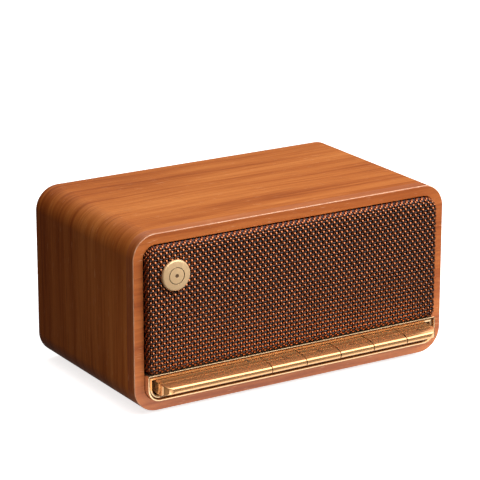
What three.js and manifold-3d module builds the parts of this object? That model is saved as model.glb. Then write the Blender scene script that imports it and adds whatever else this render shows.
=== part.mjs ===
// A compact tabletop loudspeaker: a wooden cabinet with rounded corners, a woven metal grille that
// stands proud of the front, and below it a trim ring with one fixed plate and five piano keys.
// Units are millimetres. +X is to the listener's right, -Y is the front, +Z is up. The origin is on
// the surface that the feet stand on, under the middle of the whole object.
import * as THREE from "three";
import { mergeVertices } from "three/addons/utils/BufferGeometryUtils.js";
import Module from "manifold-3d";

const wasm = await Module();
wasm.setup();

// ---------------------------------------------------------------- driving dimensions

const WIDTH = 163;
const HEIGHT = 80.7; // the wooden cabinet, without its feet
const DEPTH = 91; // the wooden cabinet, without the keys
const CORNER = 11.2;
const WALL = 5;
const FOOT_HEIGHT = 2.3;
const FOOT_RADIUS = 6;
const FOOT_X = 64;
const FOOT_INSET = 12; // from the cabinet's front or back to the middle of a foot
const KEY_REACH = 12; // how far the key noses stand in front of the wood
const GAP = 0.3; // between pieces that meet or pass each other
const HAIRLINE = 0.05; // between pieces that are glued together

const FRAME_THICKNESS = 6;
const OPENING_HALF = 76.45; // the opening in the wooden front frame
const OPENING_BOTTOM = 7.5;
const OPENING_TOP = 78;
const OPENING_CORNER = 6.1;

const TRIM_HALF = 76.3; // the grille and the trim ring fill the opening
const TRIM_SPLIT = 19.95; // the height where the ring ends and the grille begins
const GRILLE_PROUD = 4;
const GRILLE_EDGE = 2.5;
const GRILLE_SKIN = 1;
const RING_PROUD = 3.3;
const RIM_WIDTH = 0.75;
const RIM_BEVEL = 0.5;
const LEDGE_WIDTH = 1;
const LEDGE_DEPTH = 0.9; // from the rim's face back to the ledge

const BAR_HALF = 72.4; // the fixed plate and the keys together
const BAR_END_RADIUS = 4.8;
const KEY_PITCH = 18.2;
const KEY_GAP = 0.35;
const KEY_NAMES = ["power", "input", "play_pause", "volume_down", "volume_up"];
const PIVOT_DEPTH = 10; // behind the wood's front face
const PIVOT_RADIUS = 1;
const PIVOT_BORE = 1.3;
const BOSS_RADIUS = 2.45;

const DRIVER_X = 40;
const DRIVER_Z = 49;
const DRIVER_HOLE = 22.5; // radius of the baffle's hole in front of a driver
const RADIATOR_X = 30;
const RADIATOR_Z = 44;
const RADIATOR_HOLE = 24.3;
const PANEL_THICKNESS = 3;
const PANEL_INSET = 2; // from the cabinet's back edge to the panel's outer face
const BADGE = { x: -63, z: 64.25, radius: 7, thickness: 1.6, stud: 1.2, studHole: 1.6 };
const CLIP = { inner: 1.5, outer: 3.9, back: 1.9, front: 2.7 };
const ROUND = 24; // sides of a turned piece

const FRONT = KEY_REACH - (DEPTH + KEY_REACH) / 2;
const BACK = FRONT + DEPTH;
const BOTTOM = FOOT_HEIGHT;
const TOP = BOTTOM + HEIGHT;
const PIVOT = { y: FRONT + PIVOT_DEPTH, z: 14.9 };
const KEY_TOP = PIVOT.z + BOSS_RADIUS;
const PANEL_BACK = BACK - PANEL_INSET;
const PANEL_FRONT = PANEL_BACK - PANEL_THICKNESS;
const BAFFLE = { front: FRONT + FRAME_THICKNESS + 0.2, thickness: 4 };
BAFFLE.back = BAFFLE.front + BAFFLE.thickness;

// The y of a point that stands so far in front of the wood's front face.
const proud = (reach) => FRONT - reach;

// ---------------------------------------------------------------- solids

function solidOf(geometry) {
  const bare = geometry.index ? geometry.toNonIndexed() : geometry.clone();
  bare.deleteAttribute("normal");
  bare.deleteAttribute("uv");
  const merged = mergeVertices(bare, 1e-4);
  const corners = merged.index.array;
  const kept = [];
  for (let i = 0; i < corners.length; i += 3) {
    const [a, b, c] = [corners[i], corners[i + 1], corners[i + 2]];
    if (a !== b && b !== c && c !== a) kept.push(a, b, c);
  }
  return new wasm.Manifold(
    new wasm.Mesh({
      numProp: 3,
      vertProperties: merged.attributes.position.array,
      triVerts: new Uint32Array(kept),
    }),
  );
}

function geometryOf(solid) {
  const { vertProperties, triVerts } = solid.getMesh();
  const geometry = new THREE.BufferGeometry();
  geometry.setAttribute("position", new THREE.BufferAttribute(vertProperties, 3));
  geometry.setIndex(new THREE.BufferAttribute(triVerts, 1));
  const faceted = geometry.toNonIndexed();
  faceted.computeVertexNormals();
  return faceted;
}

const combine = (method) => (first, ...others) =>
  geometryOf(others.reduce((solid, next) => solid[method](solidOf(next)), solidOf(first)));
const join = combine("add");
const cut = combine("subtract");
const common = combine("intersect");

// ---------------------------------------------------------------- outlines and basic shapes

// An outline with its own radius on the lower and on the upper corners. Each arc is joined to the
// one before it by a straight side.
function rounded(x0, x1, z0, z1, low, high = low, Kind = THREE.Shape) {
  const quarter = Math.PI / 2;
  const outline = new Kind();
  outline.absarc(x1 - low, z0 + low, low, -quarter, 0, false);
  outline.absarc(x1 - high, z1 - high, high, 0, quarter, false);
  outline.absarc(x0 + high, z1 - high, high, quarter, 2 * quarter, false);
  outline.absarc(x0 + low, z0 + low, low, 2 * quarter, 3 * quarter, false);
  return outline;
}

// A circle as a number of arcs: a large one takes more arcs, and so more sides.
function circle(x, z, radius, arcs = 1, Kind = THREE.Path) {
  const outline = new Kind();
  const step = (Math.PI * 2) / arcs;
  for (let i = 0; i < arcs; i++) outline.absarc(x, z, radius, i * step, (i + 1) * step, false);
  return outline;
}

// An outline in x and z, run from y0 at the front to y1 at the back.
function slab(outline, y0, y1, segments = 3, bevel = 0) {
  const geometry = new THREE.ExtrudeGeometry(outline, {
    depth: y1 - y0 - 2 * bevel,
    curveSegments: segments,
    bevelEnabled: bevel > 0,
    bevelThickness: bevel,
    bevelSize: bevel,
    bevelOffset: -bevel,
    bevelSegments: bevel > 1 ? 3 : 1,
  });
  geometry.rotateX(Math.PI / 2);
  geometry.translate(0, y1 - bevel, 0);
  return geometry;
}

// An outline in y and z, run along x.
function beam(outline, x0, x1, segments = 5) {
  const geometry = new THREE.ExtrudeGeometry(outline, {
    depth: x1 - x0,
    curveSegments: segments,
    bevelEnabled: false,
  });
  const [x, y, z] = [0, 1, 2].map((i) => new THREE.Vector3().setComponent(i, 1));
  geometry.applyMatrix4(new THREE.Matrix4().makeBasis(y, z, x));
  geometry.translate(x0, 0, 0);
  return geometry;
}

// An outline in x and y, run up z.
function column(outline, z0, z1, segments = 6) {
  const geometry = new THREE.ExtrudeGeometry(outline, {
    depth: z1 - z0,
    curveSegments: segments,
    bevelEnabled: false,
  });
  geometry.translate(0, 0, z0);
  return geometry;
}

function block(x0, x1, y0, y1, z0, z1) {
  const geometry = new THREE.BoxGeometry(x1 - x0, y1 - y0, z1 - z0);
  geometry.translate((x0 + x1) / 2, (y0 + y1) / 2, (z0 + z1) / 2);
  return geometry;
}

// A cylinder along one axis, from low to high on it, through the other two coordinates.
function rod(axis, radius, low, high, a, b, sides = 16) {
  const geometry = new THREE.CylinderGeometry(radius, radius, high - low, sides);
  const middle = (low + high) / 2;
  if (axis === "x") geometry.rotateZ(Math.PI / 2).translate(middle, a, b);
  if (axis === "y") geometry.translate(a, middle, b);
  if (axis === "z") geometry.rotateX(Math.PI / 2).translate(a, b, middle);
  return geometry;
}

// A closed profile of [radius, y] points, turned about the y axis.
function turned(profile, sides = ROUND) {
  const points = profile.map(([radius, y]) => new THREE.Vector2(radius, y));
  if (THREE.ShapeUtils.area(points) < 0) points.reverse();
  points.push(points[0].clone());
  return new THREE.LatheGeometry(points, sides);
}

// Points on an arc, for a turned profile.
function arc(centre, radius, from, to, steps) {
  return Array.from({ length: steps + 1 }, (_, i) => {
    const angle = THREE.MathUtils.degToRad(from + ((to - from) * i) / steps);
    return [centre[0] + radius * Math.cos(angle), centre[1] + radius * Math.sin(angle)];
  });
}

// An insulated wire along a smooth route.
function wire(route, radius) {
  const curve = new THREE.CatmullRomCurve3(route.map((point) => new THREE.Vector3(...point)));
  const section = circle(0, 0, radius, 1, THREE.Shape);
  const steps = Math.round(curve.getLength() / (5 * radius));
  return new THREE.ExtrudeGeometry(section, { steps, curveSegments: 4, extrudePath: curve });
}

function piece(name, geometry, finish) {
  const mesh = new THREE.Mesh(geometryOf(solidOf(geometry)), finish());
  mesh.name = name;
  return mesh;
}

// ---------------------------------------------------------------- finishes

const finish = (color, roughness, metalness) => () =>
  new THREE.MeshStandardMaterial({ color, roughness, metalness });
const walnut = finish(0xb5693a, 0.42, 0);
const copperWeave = finish(0xb4724e, 0.38, 0.9);
const paleGold = finish(0xe2c48c, 0.3, 1);
const gold = finish(0xd89a62, 0.24, 1);
const steel = finish(0xb8babd, 0.3, 1);
const blackPlastic = finish(0x1b1b1c, 0.55, 0);
const darkMetal = finish(0x3a3a3c, 0.5, 0.8);
const paper = finish(0x222120, 0.85, 0);
const rubber = finish(0x161616, 0.8, 0);
const copperWire = finish(0xa85c32, 0.35, 1);
const magnet = finish(0x5b5d60, 0.45, 0.9);
const circuitBoard = finish(0x1f5a38, 0.5, 0);
const batteryWrap = finish(0x2f6f9e, 0.45, 0);
const redInsulation = finish(0x9a1f1c, 0.5, 0);
const greyRibbon = finish(0xc9c9c4, 0.5, 0);
const clearPlastic = finish(0xe8e8e8, 0.1, 0);

// ---------------------------------------------------------------- wooden cabinet

const SCREWS = [
  ["rear_screw_lower_left", -71, 14],
  ["rear_screw_lower_right", 71, 14],
  ["rear_screw_upper_left", -71, 71.3],
  ["rear_screw_upper_right", 71, 71.3],
];
const CLEAT = { size: 11, length: 11, pilot: 1.7 };

function cabinetSleeve() {
  const half = WIDTH / 2;
  const outline = rounded(-half, half, BOTTOM, TOP, CORNER);
  const inner = [half - WALL, BOTTOM + WALL, TOP - WALL];
  outline.holes.push(
    rounded(-inner[0], inner[0], inner[1], inner[2], CORNER - WALL, CORNER - WALL, THREE.Path),
  );
  const tube = slab(outline, FRONT + FRAME_THICKNESS + HAIRLINE, BACK);
  const back = PANEL_FRONT - GAP;
  const cleats = [];
  const pilots = [];
  for (const [, x, z] of SCREWS) {
    const outerX = Math.sign(x) * (half - WALL / 2);
    const outerZ = z < (TOP + BOTTOM) / 2 ? BOTTOM + WALL / 2 : TOP - WALL / 2;
    const innerX = Math.sign(x) * (half - WALL - CLEAT.size);
    const innerZ = outerZ + Math.sign(z - outerZ) * (CLEAT.size + WALL / 2);
    const box = new THREE.Box2().setFromPoints([
      new THREE.Vector2(outerX, outerZ),
      new THREE.Vector2(innerX, innerZ),
    ]);
    cleats.push(block(box.min.x, box.max.x, back - CLEAT.length, back, box.min.y, box.max.y));
    pilots.push(rod("y", CLEAT.pilot, back - CLEAT.length - 1, back + 1, x, z));
  }
  const hull = common(join(tube, ...cleats), outerBlock());
  return piece("cabinet_sleeve", cut(hull, ...pilots), walnut);
}

// The cabinet's outer form as one solid, which trims what is glued inside its corners.
function outerBlock() {
  const half = WIDTH / 2;
  return slab(rounded(-half, half, BOTTOM, TOP, CORNER), FRONT, BACK);
}

function frontFrame() {
  const half = WIDTH / 2;
  const outline = rounded(-half, half, BOTTOM, TOP, CORNER);
  outline.holes.push(
    rounded(
      -OPENING_HALF,
      OPENING_HALF,
      OPENING_BOTTOM,
      OPENING_TOP,
      OPENING_CORNER,
      OPENING_CORNER,
      THREE.Path,
    ),
  );
  return piece("front_frame", slab(outline, FRONT, FRONT + FRAME_THICKNESS), walnut);
}

function foot(name, x, y) {
  const mesh = piece(name, rod("z", FOOT_RADIUS, 0, FOOT_HEIGHT, 0, 0, 20), rubber);
  mesh.position.set(x, y, 0);
  return mesh;
}

// ---------------------------------------------------------------- grille and badge

const GRILLE = { low: TRIM_SPLIT + 0.1, high: OPENING_TOP - 0.15, lowCorner: 2.9, highCorner: 6 };

function grilleOutline(inset, Kind = THREE.Shape) {
  return rounded(
    -TRIM_HALF + inset,
    TRIM_HALF - inset,
    GRILLE.low + inset,
    GRILLE.high - inset,
    GRILLE.lowCorner - inset,
    GRILLE.highCorner - inset,
    Kind,
  );
}

// The formed sheet of woven wire: a shallow tray with a rounded edge, open at the back.
function grilleMesh() {
  const rear = proud(-2);
  const wholeRear = rear + 2 * GRILLE_EDGE;
  const outer = slab(grilleOutline(0), proud(GRILLE_PROUD), wholeRear, 3, GRILLE_EDGE);
  const inner = slab(
    grilleOutline(GRILLE_SKIN),
    proud(GRILLE_PROUD - GRILLE_SKIN),
    BACK,
    3,
    GRILLE_EDGE - GRILLE_SKIN,
  );
  const behind = block(-WIDTH, WIDTH, rear, BACK, 0, WIDTH);
  const studHole = rod("y", BADGE.studHole, proud(KEY_REACH), rear, BADGE.x, BADGE.z);
  return piece("grille_mesh", cut(outer, inner, behind, studHole), copperWeave);
}

const MIDDLE_WINDOW = { half: 14, low: 27, high: 71, corner: 3 };

// The moulded frame that the mesh is stretched over, open in front of each driver and between them.
function grilleFrame() {
  const window = DRIVER_HOLE - 0.5;
  const outline = grilleOutline(GRILLE_SKIN + GAP);
  for (const side of [-1, 1]) outline.holes.push(circle(side * DRIVER_X, DRIVER_Z, window, 4));
  const { half, low, high, corner: round } = MIDDLE_WINDOW;
  outline.holes.push(rounded(-half, half, low, high, round, round, THREE.Path));
  const front = proud(GRILLE_PROUD - GRILLE_SKIN - GAP);
  const plate = slab(outline, front, BAFFLE.front - GAP);
  const corner = GRILLE_EDGE - GRILLE_SKIN;
  const envelope = slab(grilleOutline(GRILLE_SKIN + GAP), front, front + 20, 3, corner);
  const clipPocket = rod("y", CLIP.outer + GAP, front - 1, BAFFLE.front, BADGE.x, BADGE.z);
  return piece("grille_frame", cut(common(plate, envelope), clipPocket), blackPlastic);
}

// A slightly domed disc with a rounded edge, and the stud that holds it through the mesh.
function badge() {
  const { radius, thickness, stud } = BADGE;
  const seat = GRILLE_PROUD + HAIRLINE;
  const face = seat + thickness;
  const disc = turned([
    [0, proud(face)],
    [radius * 0.6, proud(face - 0.04)],
    [radius - 0.7, proud(face - 0.14)],
    [radius - 0.2, proud(face - 0.4)],
    [radius, proud(face - 0.8)],
    [radius, proud(seat)],
    [stud, proud(seat)],
    [stud, proud(-0.5)],
    [0, proud(-0.5)],
  ]);
  const mesh = piece("badge", disc, paleGold);
  mesh.position.set(BADGE.x, 0, BADGE.z);
  return mesh;
}

// The spring washer that grips the badge's stud behind the mesh.
function badgeClip() {
  const { inner, outer, back, front } = CLIP;
  const ring = turned([
    [inner, proud(back)],
    [outer, proud(back)],
    [outer, proud(front)],
    [inner, proud(front)],
  ]);
  const mesh = piece("badge_clip", ring, steel);
  mesh.position.set(BADGE.x, 0, BADGE.z);
  return mesh;
}

// ---------------------------------------------------------------- trim ring and key tray

const RING_CORNER = { low: 6, high: 0.6 };

function ringOutline(inset) {
  const low = OPENING_BOTTOM + 0.15 + inset;
  const high = TRIM_SPLIT - 0.1 - inset;
  const { low: lowCorner, high: highCorner } = RING_CORNER;
  return rounded(-TRIM_HALF + inset, TRIM_HALF - inset, low, high, lowCorner - inset, highCorner);
}

// A bright rim, a bevel inside it, then a flat ledge round the hole for the keys.
function keyTrimRing() {
  const rear = proud(-3);
  const body = slab(ringOutline(0), proud(RING_PROUD), rear);
  const step = slab(
    ringOutline(RIM_WIDTH),
    proud(RING_PROUD + 3),
    proud(RING_PROUD - LEDGE_DEPTH),
    3,
    RIM_BEVEL,
  );
  const hole = ringOutline(RIM_WIDTH + RIM_BEVEL + LEDGE_WIDTH);
  return piece("key_trim_ring", cut(body, step, slab(hole, proud(9), rear + 1)), gold);
}

const TRAY = { front: proud(-3.3), back: proud(-19.3), wall: 1.4, half: 76, low: 7.8, high: 19.6 };
const SWITCH = { size: 4.5, body: 3.5, stem: 1.3, stemRadius: 1.2, z: 11.8 };
const KEY_BOARD = { front: TRAY.back + 0.5, thickness: 1.6, half: 70, low: 8.4, high: 19.2 };

function keyTray() {
  const { front, back, wall, half, low, high } = TRAY;
  const shell = slab(rounded(-half, half, low, high, 5.6, 1), front, back);
  const inner = rounded(-half + wall, half - wall, low + wall, high - wall, 4.2, 0.5);
  const window = SWITCH.size / 2 + GAP;
  const windows = KEY_NAMES.map((_, i) => {
    const x = keyCentre(i);
    const [z0, z1] = [SWITCH.z - window, SWITCH.z + window];
    return block(x - window, x + window, back - wall - 1, back + 1, z0, z1);
  });
  const rodHole = rod("x", PIVOT_BORE, half - wall - 1, half + 1, PIVOT.y, PIVOT.z);
  const pocket = slab(inner, front - 1, back - wall);
  return piece("key_tray", cut(shell, pocket, rodHole, ...windows), blackPlastic);
}

function keyPivotRod() {
  const [from, to] = [-38, TRAY.half - 0.1];
  return piece("key_pivot_rod", rod("x", PIVOT_RADIUS, from, to, PIVOT.y, PIVOT.z), steel);
}

// ---------------------------------------------------------------- the key bar

// The left edge of each key, counted from the middle of the bar, and its centre.
const keyEdge = (i) => (i - 1) * KEY_PITCH;
const keyRight = (i) => (i === KEY_NAMES.length - 1 ? BAR_HALF : keyEdge(i + 1) - KEY_GAP / 2);
const keyLeft = (i) => keyEdge(i) + KEY_GAP / 2;
const keyCentre = (i) => keyEdge(i) + KEY_PITCH / 2;

const NOSE = { radius: 1.6, z: 14.6, topSlope: 14, underSlope: 21 };
const NIB = { depth: 14.6, low: 10.5, high: 12.7 };
const TOP_FLAT = 2.6; // the top is flat this far in front of the wood, then falls to the nose
const TOP_BEND = { reach: 6.9, fall: 0.22 };
const UNDER_REAR = { reach: 3, z: 11.35 };
const UNDER_FRONT = { reach: 7.2, z: 11.7 };

// The side view of a key: a rounded nose, a gently crowned top, an underside that rises to the nose,
// a boss round the pivot, and a nib at the back that presses the switch.
function keyProfile(withBore) {
  const rad = THREE.MathUtils.degToRad;
  const nose = [proud(KEY_REACH - NOSE.radius), NOSE.z];
  const outline = new THREE.Shape();
  outline.moveTo(PIVOT.y, KEY_TOP);
  outline.lineTo(proud(TOP_FLAT), KEY_TOP);
  const topEnd = rad(90 + NOSE.topSlope);
  outline.quadraticCurveTo(
    proud(TOP_BEND.reach),
    KEY_TOP - TOP_BEND.fall,
    nose[0] + NOSE.radius * Math.cos(topEnd),
    nose[1] + NOSE.radius * Math.sin(topEnd),
  );
  outline.absarc(...nose, NOSE.radius, topEnd, rad(270 - NOSE.underSlope), false);
  outline.lineTo(proud(UNDER_FRONT.reach), UNDER_FRONT.z);
  outline.lineTo(proud(UNDER_REAR.reach), UNDER_REAR.z);
  outline.lineTo(proud(-UNDER_REAR.reach), UNDER_REAR.z);
  outline.lineTo(proud(-NIB.depth + 1.5), NIB.low - 0.2);
  outline.lineTo(proud(-NIB.depth), NIB.low);
  outline.lineTo(proud(-NIB.depth), NIB.high);
  outline.absarc(PIVOT.y, PIVOT.z, BOSS_RADIUS, rad(-15), rad(90), false);
  if (withBore) outline.holes.push(circle(PIVOT.y, PIVOT.z, PIVOT_BORE));
  return outline;
}

// The bar's outline from above, with its two front corners rounded.
function barPlan() {
  const nose = proud(KEY_REACH);
  const outline = rounded(-BAR_HALF, BAR_HALF, nose, nose + 40, BAR_END_RADIUS, 0.5);
  return column(outline, 0, 30, 4);
}

function key(i) {
  const plain = beam(keyProfile(true), keyLeft(i), keyRight(i));
  const last = i === KEY_NAMES.length - 1;
  return piece("key_" + KEY_NAMES[i], last ? common(plain, barPlan()) : plain, gold);
}

const LIGHT = { x: -25.4, y: proud(3), radius: 0.45, hole: 0.75, top: 17.4, bottom: 10.9 };

const SUPPORTS = { xs: [-64, -44, -26], half: 3, front: 4, back: 9, top: 12 };

// The long plate that doesn't move. It stands on three short posts in the tray.
function fixedPlate() {
  const right = keyEdge(0) - KEY_GAP / 2;
  const { half, front, back, top } = SUPPORTS;
  const supports = SUPPORTS.xs.map((x) =>
    block(x - half, x + half, proud(-front), proud(-back), TRAY.low + TRAY.wall + HAIRLINE, top),
  );
  const body = common(beam(keyProfile(false), -BAR_HALF, right), barPlan());
  const bore = rod("x", PIVOT_BORE, -40, right + 1, PIVOT.y, PIVOT.z);
  const lightHole = rod("z", LIGHT.hole, 0, 30, LIGHT.x, LIGHT.y);
  return piece("fixed_plate", cut(join(body, ...supports), bore, lightHole), gold);
}

function statusLightPipe() {
  const { x, y, radius, top, bottom } = LIGHT;
  return piece("status_light_pipe", rod("z", radius, bottom, top, x, y, 12), clearPlastic);
}

function tactSwitch(i) {
  const { size, body, stem, stemRadius, z } = SWITCH;
  const seat = KEY_BOARD.front - HAIRLINE;
  const half = size / 2;
  const geometry = join(
    block(-half, half, seat - body, seat, z - half, z + half),
    rod("y", stemRadius, seat - body - stem, seat - body + 1, 0, z),
  );
  const mesh = piece("switch_" + KEY_NAMES[i], geometry, darkMetal);
  mesh.position.x = keyCentre(i);
  return mesh;
}

function keyBoard() {
  const { front, thickness } = KEY_BOARD;
  const { half, low, high } = KEY_BOARD;
  const board = block(-half, half, front, front + thickness, low, high);
  return piece("key_board", board, circuitBoard);
}

// ---------------------------------------------------------------- baffle and drivers

function frontBaffle() {
  const outline = rounded(-76.2, 76.2, TRAY.high + 0.5, OPENING_TOP - GAP, 0.5, 5.9);
  const holes = [-1, 1].map((side) => circle(side * DRIVER_X, DRIVER_Z, DRIVER_HOLE, 4));
  outline.holes.push(...holes);
  return piece("front_baffle", slab(outline, BAFFLE.front, BAFFLE.back), blackPlastic);
}

// One full-range driver about its own axis, with depth counted back from the flange's front face.
function driver(side) {
  const face = BAFFLE.back + GAP;
  const at = (depth) => face + depth;
  const basketCone = turned([
    [26, at(0)],
    [26, at(1.8)],
    [20.7, at(3.6)],
    [13.2, at(15.7)],
    [7.6, at(15.7)],
    [7.6, at(14.4)],
    [12.1, at(14.4)],
    [19.6, at(2.8)],
    [20.6, at(1.2)],
    [20.6, at(0)],
  ]);
  const terminal = block(-4, 4, at(9), at(13), -21, -16);
  const vents = [45, 135, 225, 315].map((degrees) =>
    block(-3.5, 3.5, at(5), at(13), 9, 24).rotateY(THREE.MathUtils.degToRad(degrees)),
  );
  const surround = turned([
    [17.5, at(-1.2)],
    ...arc([20, at(-1.2)], 1.7, 180, 360, 5),
    [22.2, at(-1.2)],
    [22.2, at(-GAP - 0.3)],
    [21.3, at(-GAP - 0.3)],
    ...arc([20, at(-0.7)], 1.3, 360, 180, 5),
    [17.5, at(-0.7)],
  ]);
  const cone = turned([
    [0, at(3.2)],
    [3.5, at(3.6)],
    [6.4, at(4.9)],
    [8, at(6.5)],
    [18.4, at(-0.4)],
    [18.4, at(0.2)],
    [8.2, at(7.4)],
    [7, at(7.4)],
    [5.8, at(5.4)],
    [3.2, at(4.3)],
    [0, at(3.9)],
  ]);
  const coil = turned([
    [6.5, at(7.7)],
    [7.2, at(7.7)],
    [7.2, at(20)],
    [6.5, at(20)],
  ]);
  const motor = turned([
    [0, at(16)],
    [6.2, at(16)],
    [6.2, at(22.6)],
    [7.6, at(22.6)],
    [7.6, at(16)],
    [13, at(16)],
    [13, at(17.5)],
    [14.5, at(17.5)],
    [14.5, at(23)],
    [13, at(23)],
    [13, at(25)],
    [0, at(25)],
  ]);
  const group = new THREE.Group();
  group.position.set(side === "left" ? -DRIVER_X : DRIVER_X, 0, DRIVER_Z);
  group.add(
    piece("driver_basket_" + side, cut(join(basketCone, terminal), ...vents), darkMetal),
    piece("driver_surround_" + side, surround, rubber),
    piece("driver_cone_" + side, cone, paper),
    piece("driver_voice_coil_" + side, coil, copperWire),
    piece("driver_magnet_" + side, motor, magnet),
  );
  return group;
}

// ---------------------------------------------------------------- rear panel and radiator

const BAY = { x0: -62, x1: -22, z0: 12, z1: 26, wall: 1.5, floor: PANEL_BACK - 6.5 };
const BOARD = { x0: -65, x1: -18, y0: 2, y1: 40.8, top: 17, thickness: 1.6 };
const CHARGE = { x: -54, z: BOARD.top + 1.75, width: 9, height: 3.3 };
const JACK = { x: -42, z: BOARD.top + 3.1, radius: 3, bore: 1.8 };
const CARD = { x: -30, z: BOARD.top + 0.95, width: 12, height: 1.7 };

function rearPanel() {
  const inner = WALL + GAP;
  const half = WIDTH / 2 - inner;
  const corner = CORNER - inner;
  const outline = rounded(-half, half, BOTTOM + inner, TOP - inner, corner);
  outline.holes.push(circle(RADIATOR_X, RADIATOR_Z, RADIATOR_HOLE, 4));
  for (const [, x, z] of SCREWS) outline.holes.push(circle(x, z, 1.8, 2));
  const plate = slab(outline, PANEL_FRONT, PANEL_BACK);
  const { x0, x1, z0, z1, wall, floor } = BAY;
  const box = block(x0 - wall, x1 + wall, floor - wall, PANEL_FRONT + 1, z0 - wall, z1 + wall);
  const pocket = block(x0, x1, floor, PANEL_BACK + 1, z0, z1);
  const [w, h] = [CHARGE.width / 2 + GAP, CHARGE.height / 2 + GAP];
  const [cw, ch] = [CARD.width / 2 + GAP, CARD.height / 2 + GAP];
  const [y0, y1] = [floor - wall - 1, floor + 1];
  const holes = [
    block(CHARGE.x - w, CHARGE.x + w, y0, y1, CHARGE.z - h, CHARGE.z + h),
    block(CARD.x - cw, CARD.x + cw, y0, y1, CARD.z - ch, CARD.z + ch),
    rod("y", JACK.radius + GAP, y0, y1, JACK.x, JACK.z, 24),
  ];
  return piece("rear_panel", cut(join(plate, box), pocket, ...holes), blackPlastic);
}

// A pan-head screw with a cross recess.
function rearScrew([name, x, z]) {
  const head = PANEL_BACK + HAIRLINE;
  const body = turned(
    [
      [0, head + 1.8],
      [1.6, head + 1.7],
      [2.6, head + 1.1],
      [2.9, head],
      [1.4, head],
      [1.4, head - 12],
      [0, head - 13],
    ],
    12,
  );
  const recess = [block(-1.7, 1.7, head + 0.8, head + 3, -0.35, 0.35)];
  recess.push(recess[0].clone().rotateY(Math.PI / 2));
  const mesh = piece(name, cut(body, ...recess), steel);
  mesh.position.set(x, 0, z);
  return mesh;
}

// The passive radiator: a weighted flat disc on a rubber surround, behind a slotted guard.
function passiveRadiator() {
  const seat = PANEL_FRONT - GAP;
  const surround = turned([
    [17, seat - 0.6],
    [19, seat - 0.6],
    ...arc([21.2, seat - 0.6], 2.2, 180, 0, 5),
    [26.5, seat - 0.6],
    [26.5, seat],
    [23.9, seat],
    ...arc([21.2, seat], 2.7, 0, 180, 5),
    [17, seat],
  ]);
  const disc = turned([
    [0, seat - 3.4],
    [9, seat - 3.4],
    [9, seat - 2],
    [18.2, seat - 2],
    [18.2, seat - 0.9],
    [0, seat - 0.9],
  ]);
  const group = new THREE.Group();
  group.position.set(RADIATOR_X, 0, RADIATOR_Z);
  group.add(
    piece("radiator_surround", surround, rubber),
    piece("radiator_disc", disc, darkMetal),
    piece("radiator_guard", radiatorGuard(), darkMetal),
  );
  return group;
}

// Three rings of curved slots, with a spoke between each slot and the next.
function radiatorGuard() {
  const outline = circle(0, 0, 26.5, 6, THREE.Shape);
  const spokes = 6;
  const spokeWidth = 1.6;
  for (const [low, high] of [
    [4, 9],
    [11, 16],
    [18, 23],
  ]) {
    for (let i = 0; i < spokes; i++) {
      const from = (i / spokes) * Math.PI * 2;
      const to = ((i + 1) / spokes) * Math.PI * 2;
      const [trimLow, trimHigh] = [spokeWidth / 2 / low, spokeWidth / 2 / high];
      const slot = new THREE.Path();
      slot.absarc(0, 0, high, from + trimHigh, to - trimHigh, false);
      slot.absarc(0, 0, low, to - trimLow, from + trimLow, true);
      outline.holes.push(slot);
    }
  }
  return slab(outline, PANEL_BACK + HAIRLINE, PANEL_BACK + 0.85, 2);
}

// ---------------------------------------------------------------- electronics and battery

function mainBoard() {
  const { x0, x1, y0, y1, top, thickness } = BOARD;
  const sunk = top - 0.5; // every component is joined a little way into the board
  const board = join(
    block(x0, x1, y0, y1, top - thickness, top),
    block(-62, -49, 6, 22, sunk, top + 1.8),
    block(-38, -31, 12, 19, sunk, top + 1),
    block(-29, -23, 26, 31, sunk, top + 3),
    block(-29, -23, 11, 16, sunk, top + 3),
    rod("z", 2.5, sunk, top + 5, -44, 27),
    rod("z", 2.5, sunk, top + 5, -37, 27),
  );
  return piece("main_board", board, circuitBoard);
}

function boardCarrier() {
  const { x0, x1, y0, y1, top, thickness } = BOARD;
  const floor = BOTTOM + WALL + HAIRLINE;
  const posts = [];
  for (const x of [x0 + 4, x1 - 4]) {
    for (const y of [y0 + 4, y1 - 4]) {
      posts.push(rod("z", 2.5, floor + 1, top - thickness - HAIRLINE, x, y));
    }
  }
  const base = block(x0, x1, y0, y1 - 1, floor, floor + 1.5);
  return piece("board_carrier", join(base, ...posts), blackPlastic);
}

function chargePort() {
  const { x, z, width, height } = CHARGE;
  const rear = BAY.floor + 0.2;
  const shellAt = (inset) => {
    const [w, h] = [width / 2 - inset, height / 2 - inset];
    return rounded(x - w, x + w, z - h, z + h, h - 0.05);
  };
  const shell = slab(shellAt(0), rear - 7.3, rear);
  const mouth = slab(shellAt(0.35), rear - 6, rear + 1);
  const tongue = block(x - 3.2, x + 3.2, rear - 6.5, rear - 0.9, z - 0.35, z + 0.35);
  return piece("charge_port", join(cut(shell, mouth), tongue), steel);
}

function audioJack() {
  const { x, z, radius, bore } = JACK;
  const rear = BAY.floor + 0.3;
  const body = block(x - 3.2, x + 3.2, rear - 13, BAY.floor - BAY.wall - GAP, z - 3, z + 3);
  const barrel = rod("y", radius, rear - 5, rear, x, z, 24);
  const hole = rod("y", bore, rear - 11, rear + 1, x, z, 24);
  return piece("audio_jack", cut(join(body, barrel), hole), blackPlastic);
}

function cardSlot() {
  const { x, z, width, height } = CARD;
  const rear = BAY.floor + 0.2;
  const [w, h] = [width / 2, height / 2];
  const shell = block(x - w, x + w, rear - 11, rear, z - h, z + h);
  const mouth = block(x - w + 0.4, x + w - 0.4, rear - 9.5, rear + 1, z - 0.45, z + 0.45);
  return piece("card_slot", cut(shell, mouth), steel);
}

const CELL = { radius: 9.2, length: 65, x: 26.3, ys: [10.2, 29.8], capRadius: 3, capHeight: 1 };
const HOLDER = { floor: BOTTOM + WALL + HAIRLINE, wall: 1.5, height: 9 };
CELL.z = HOLDER.floor + HOLDER.wall + GAP + CELL.radius;

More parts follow.
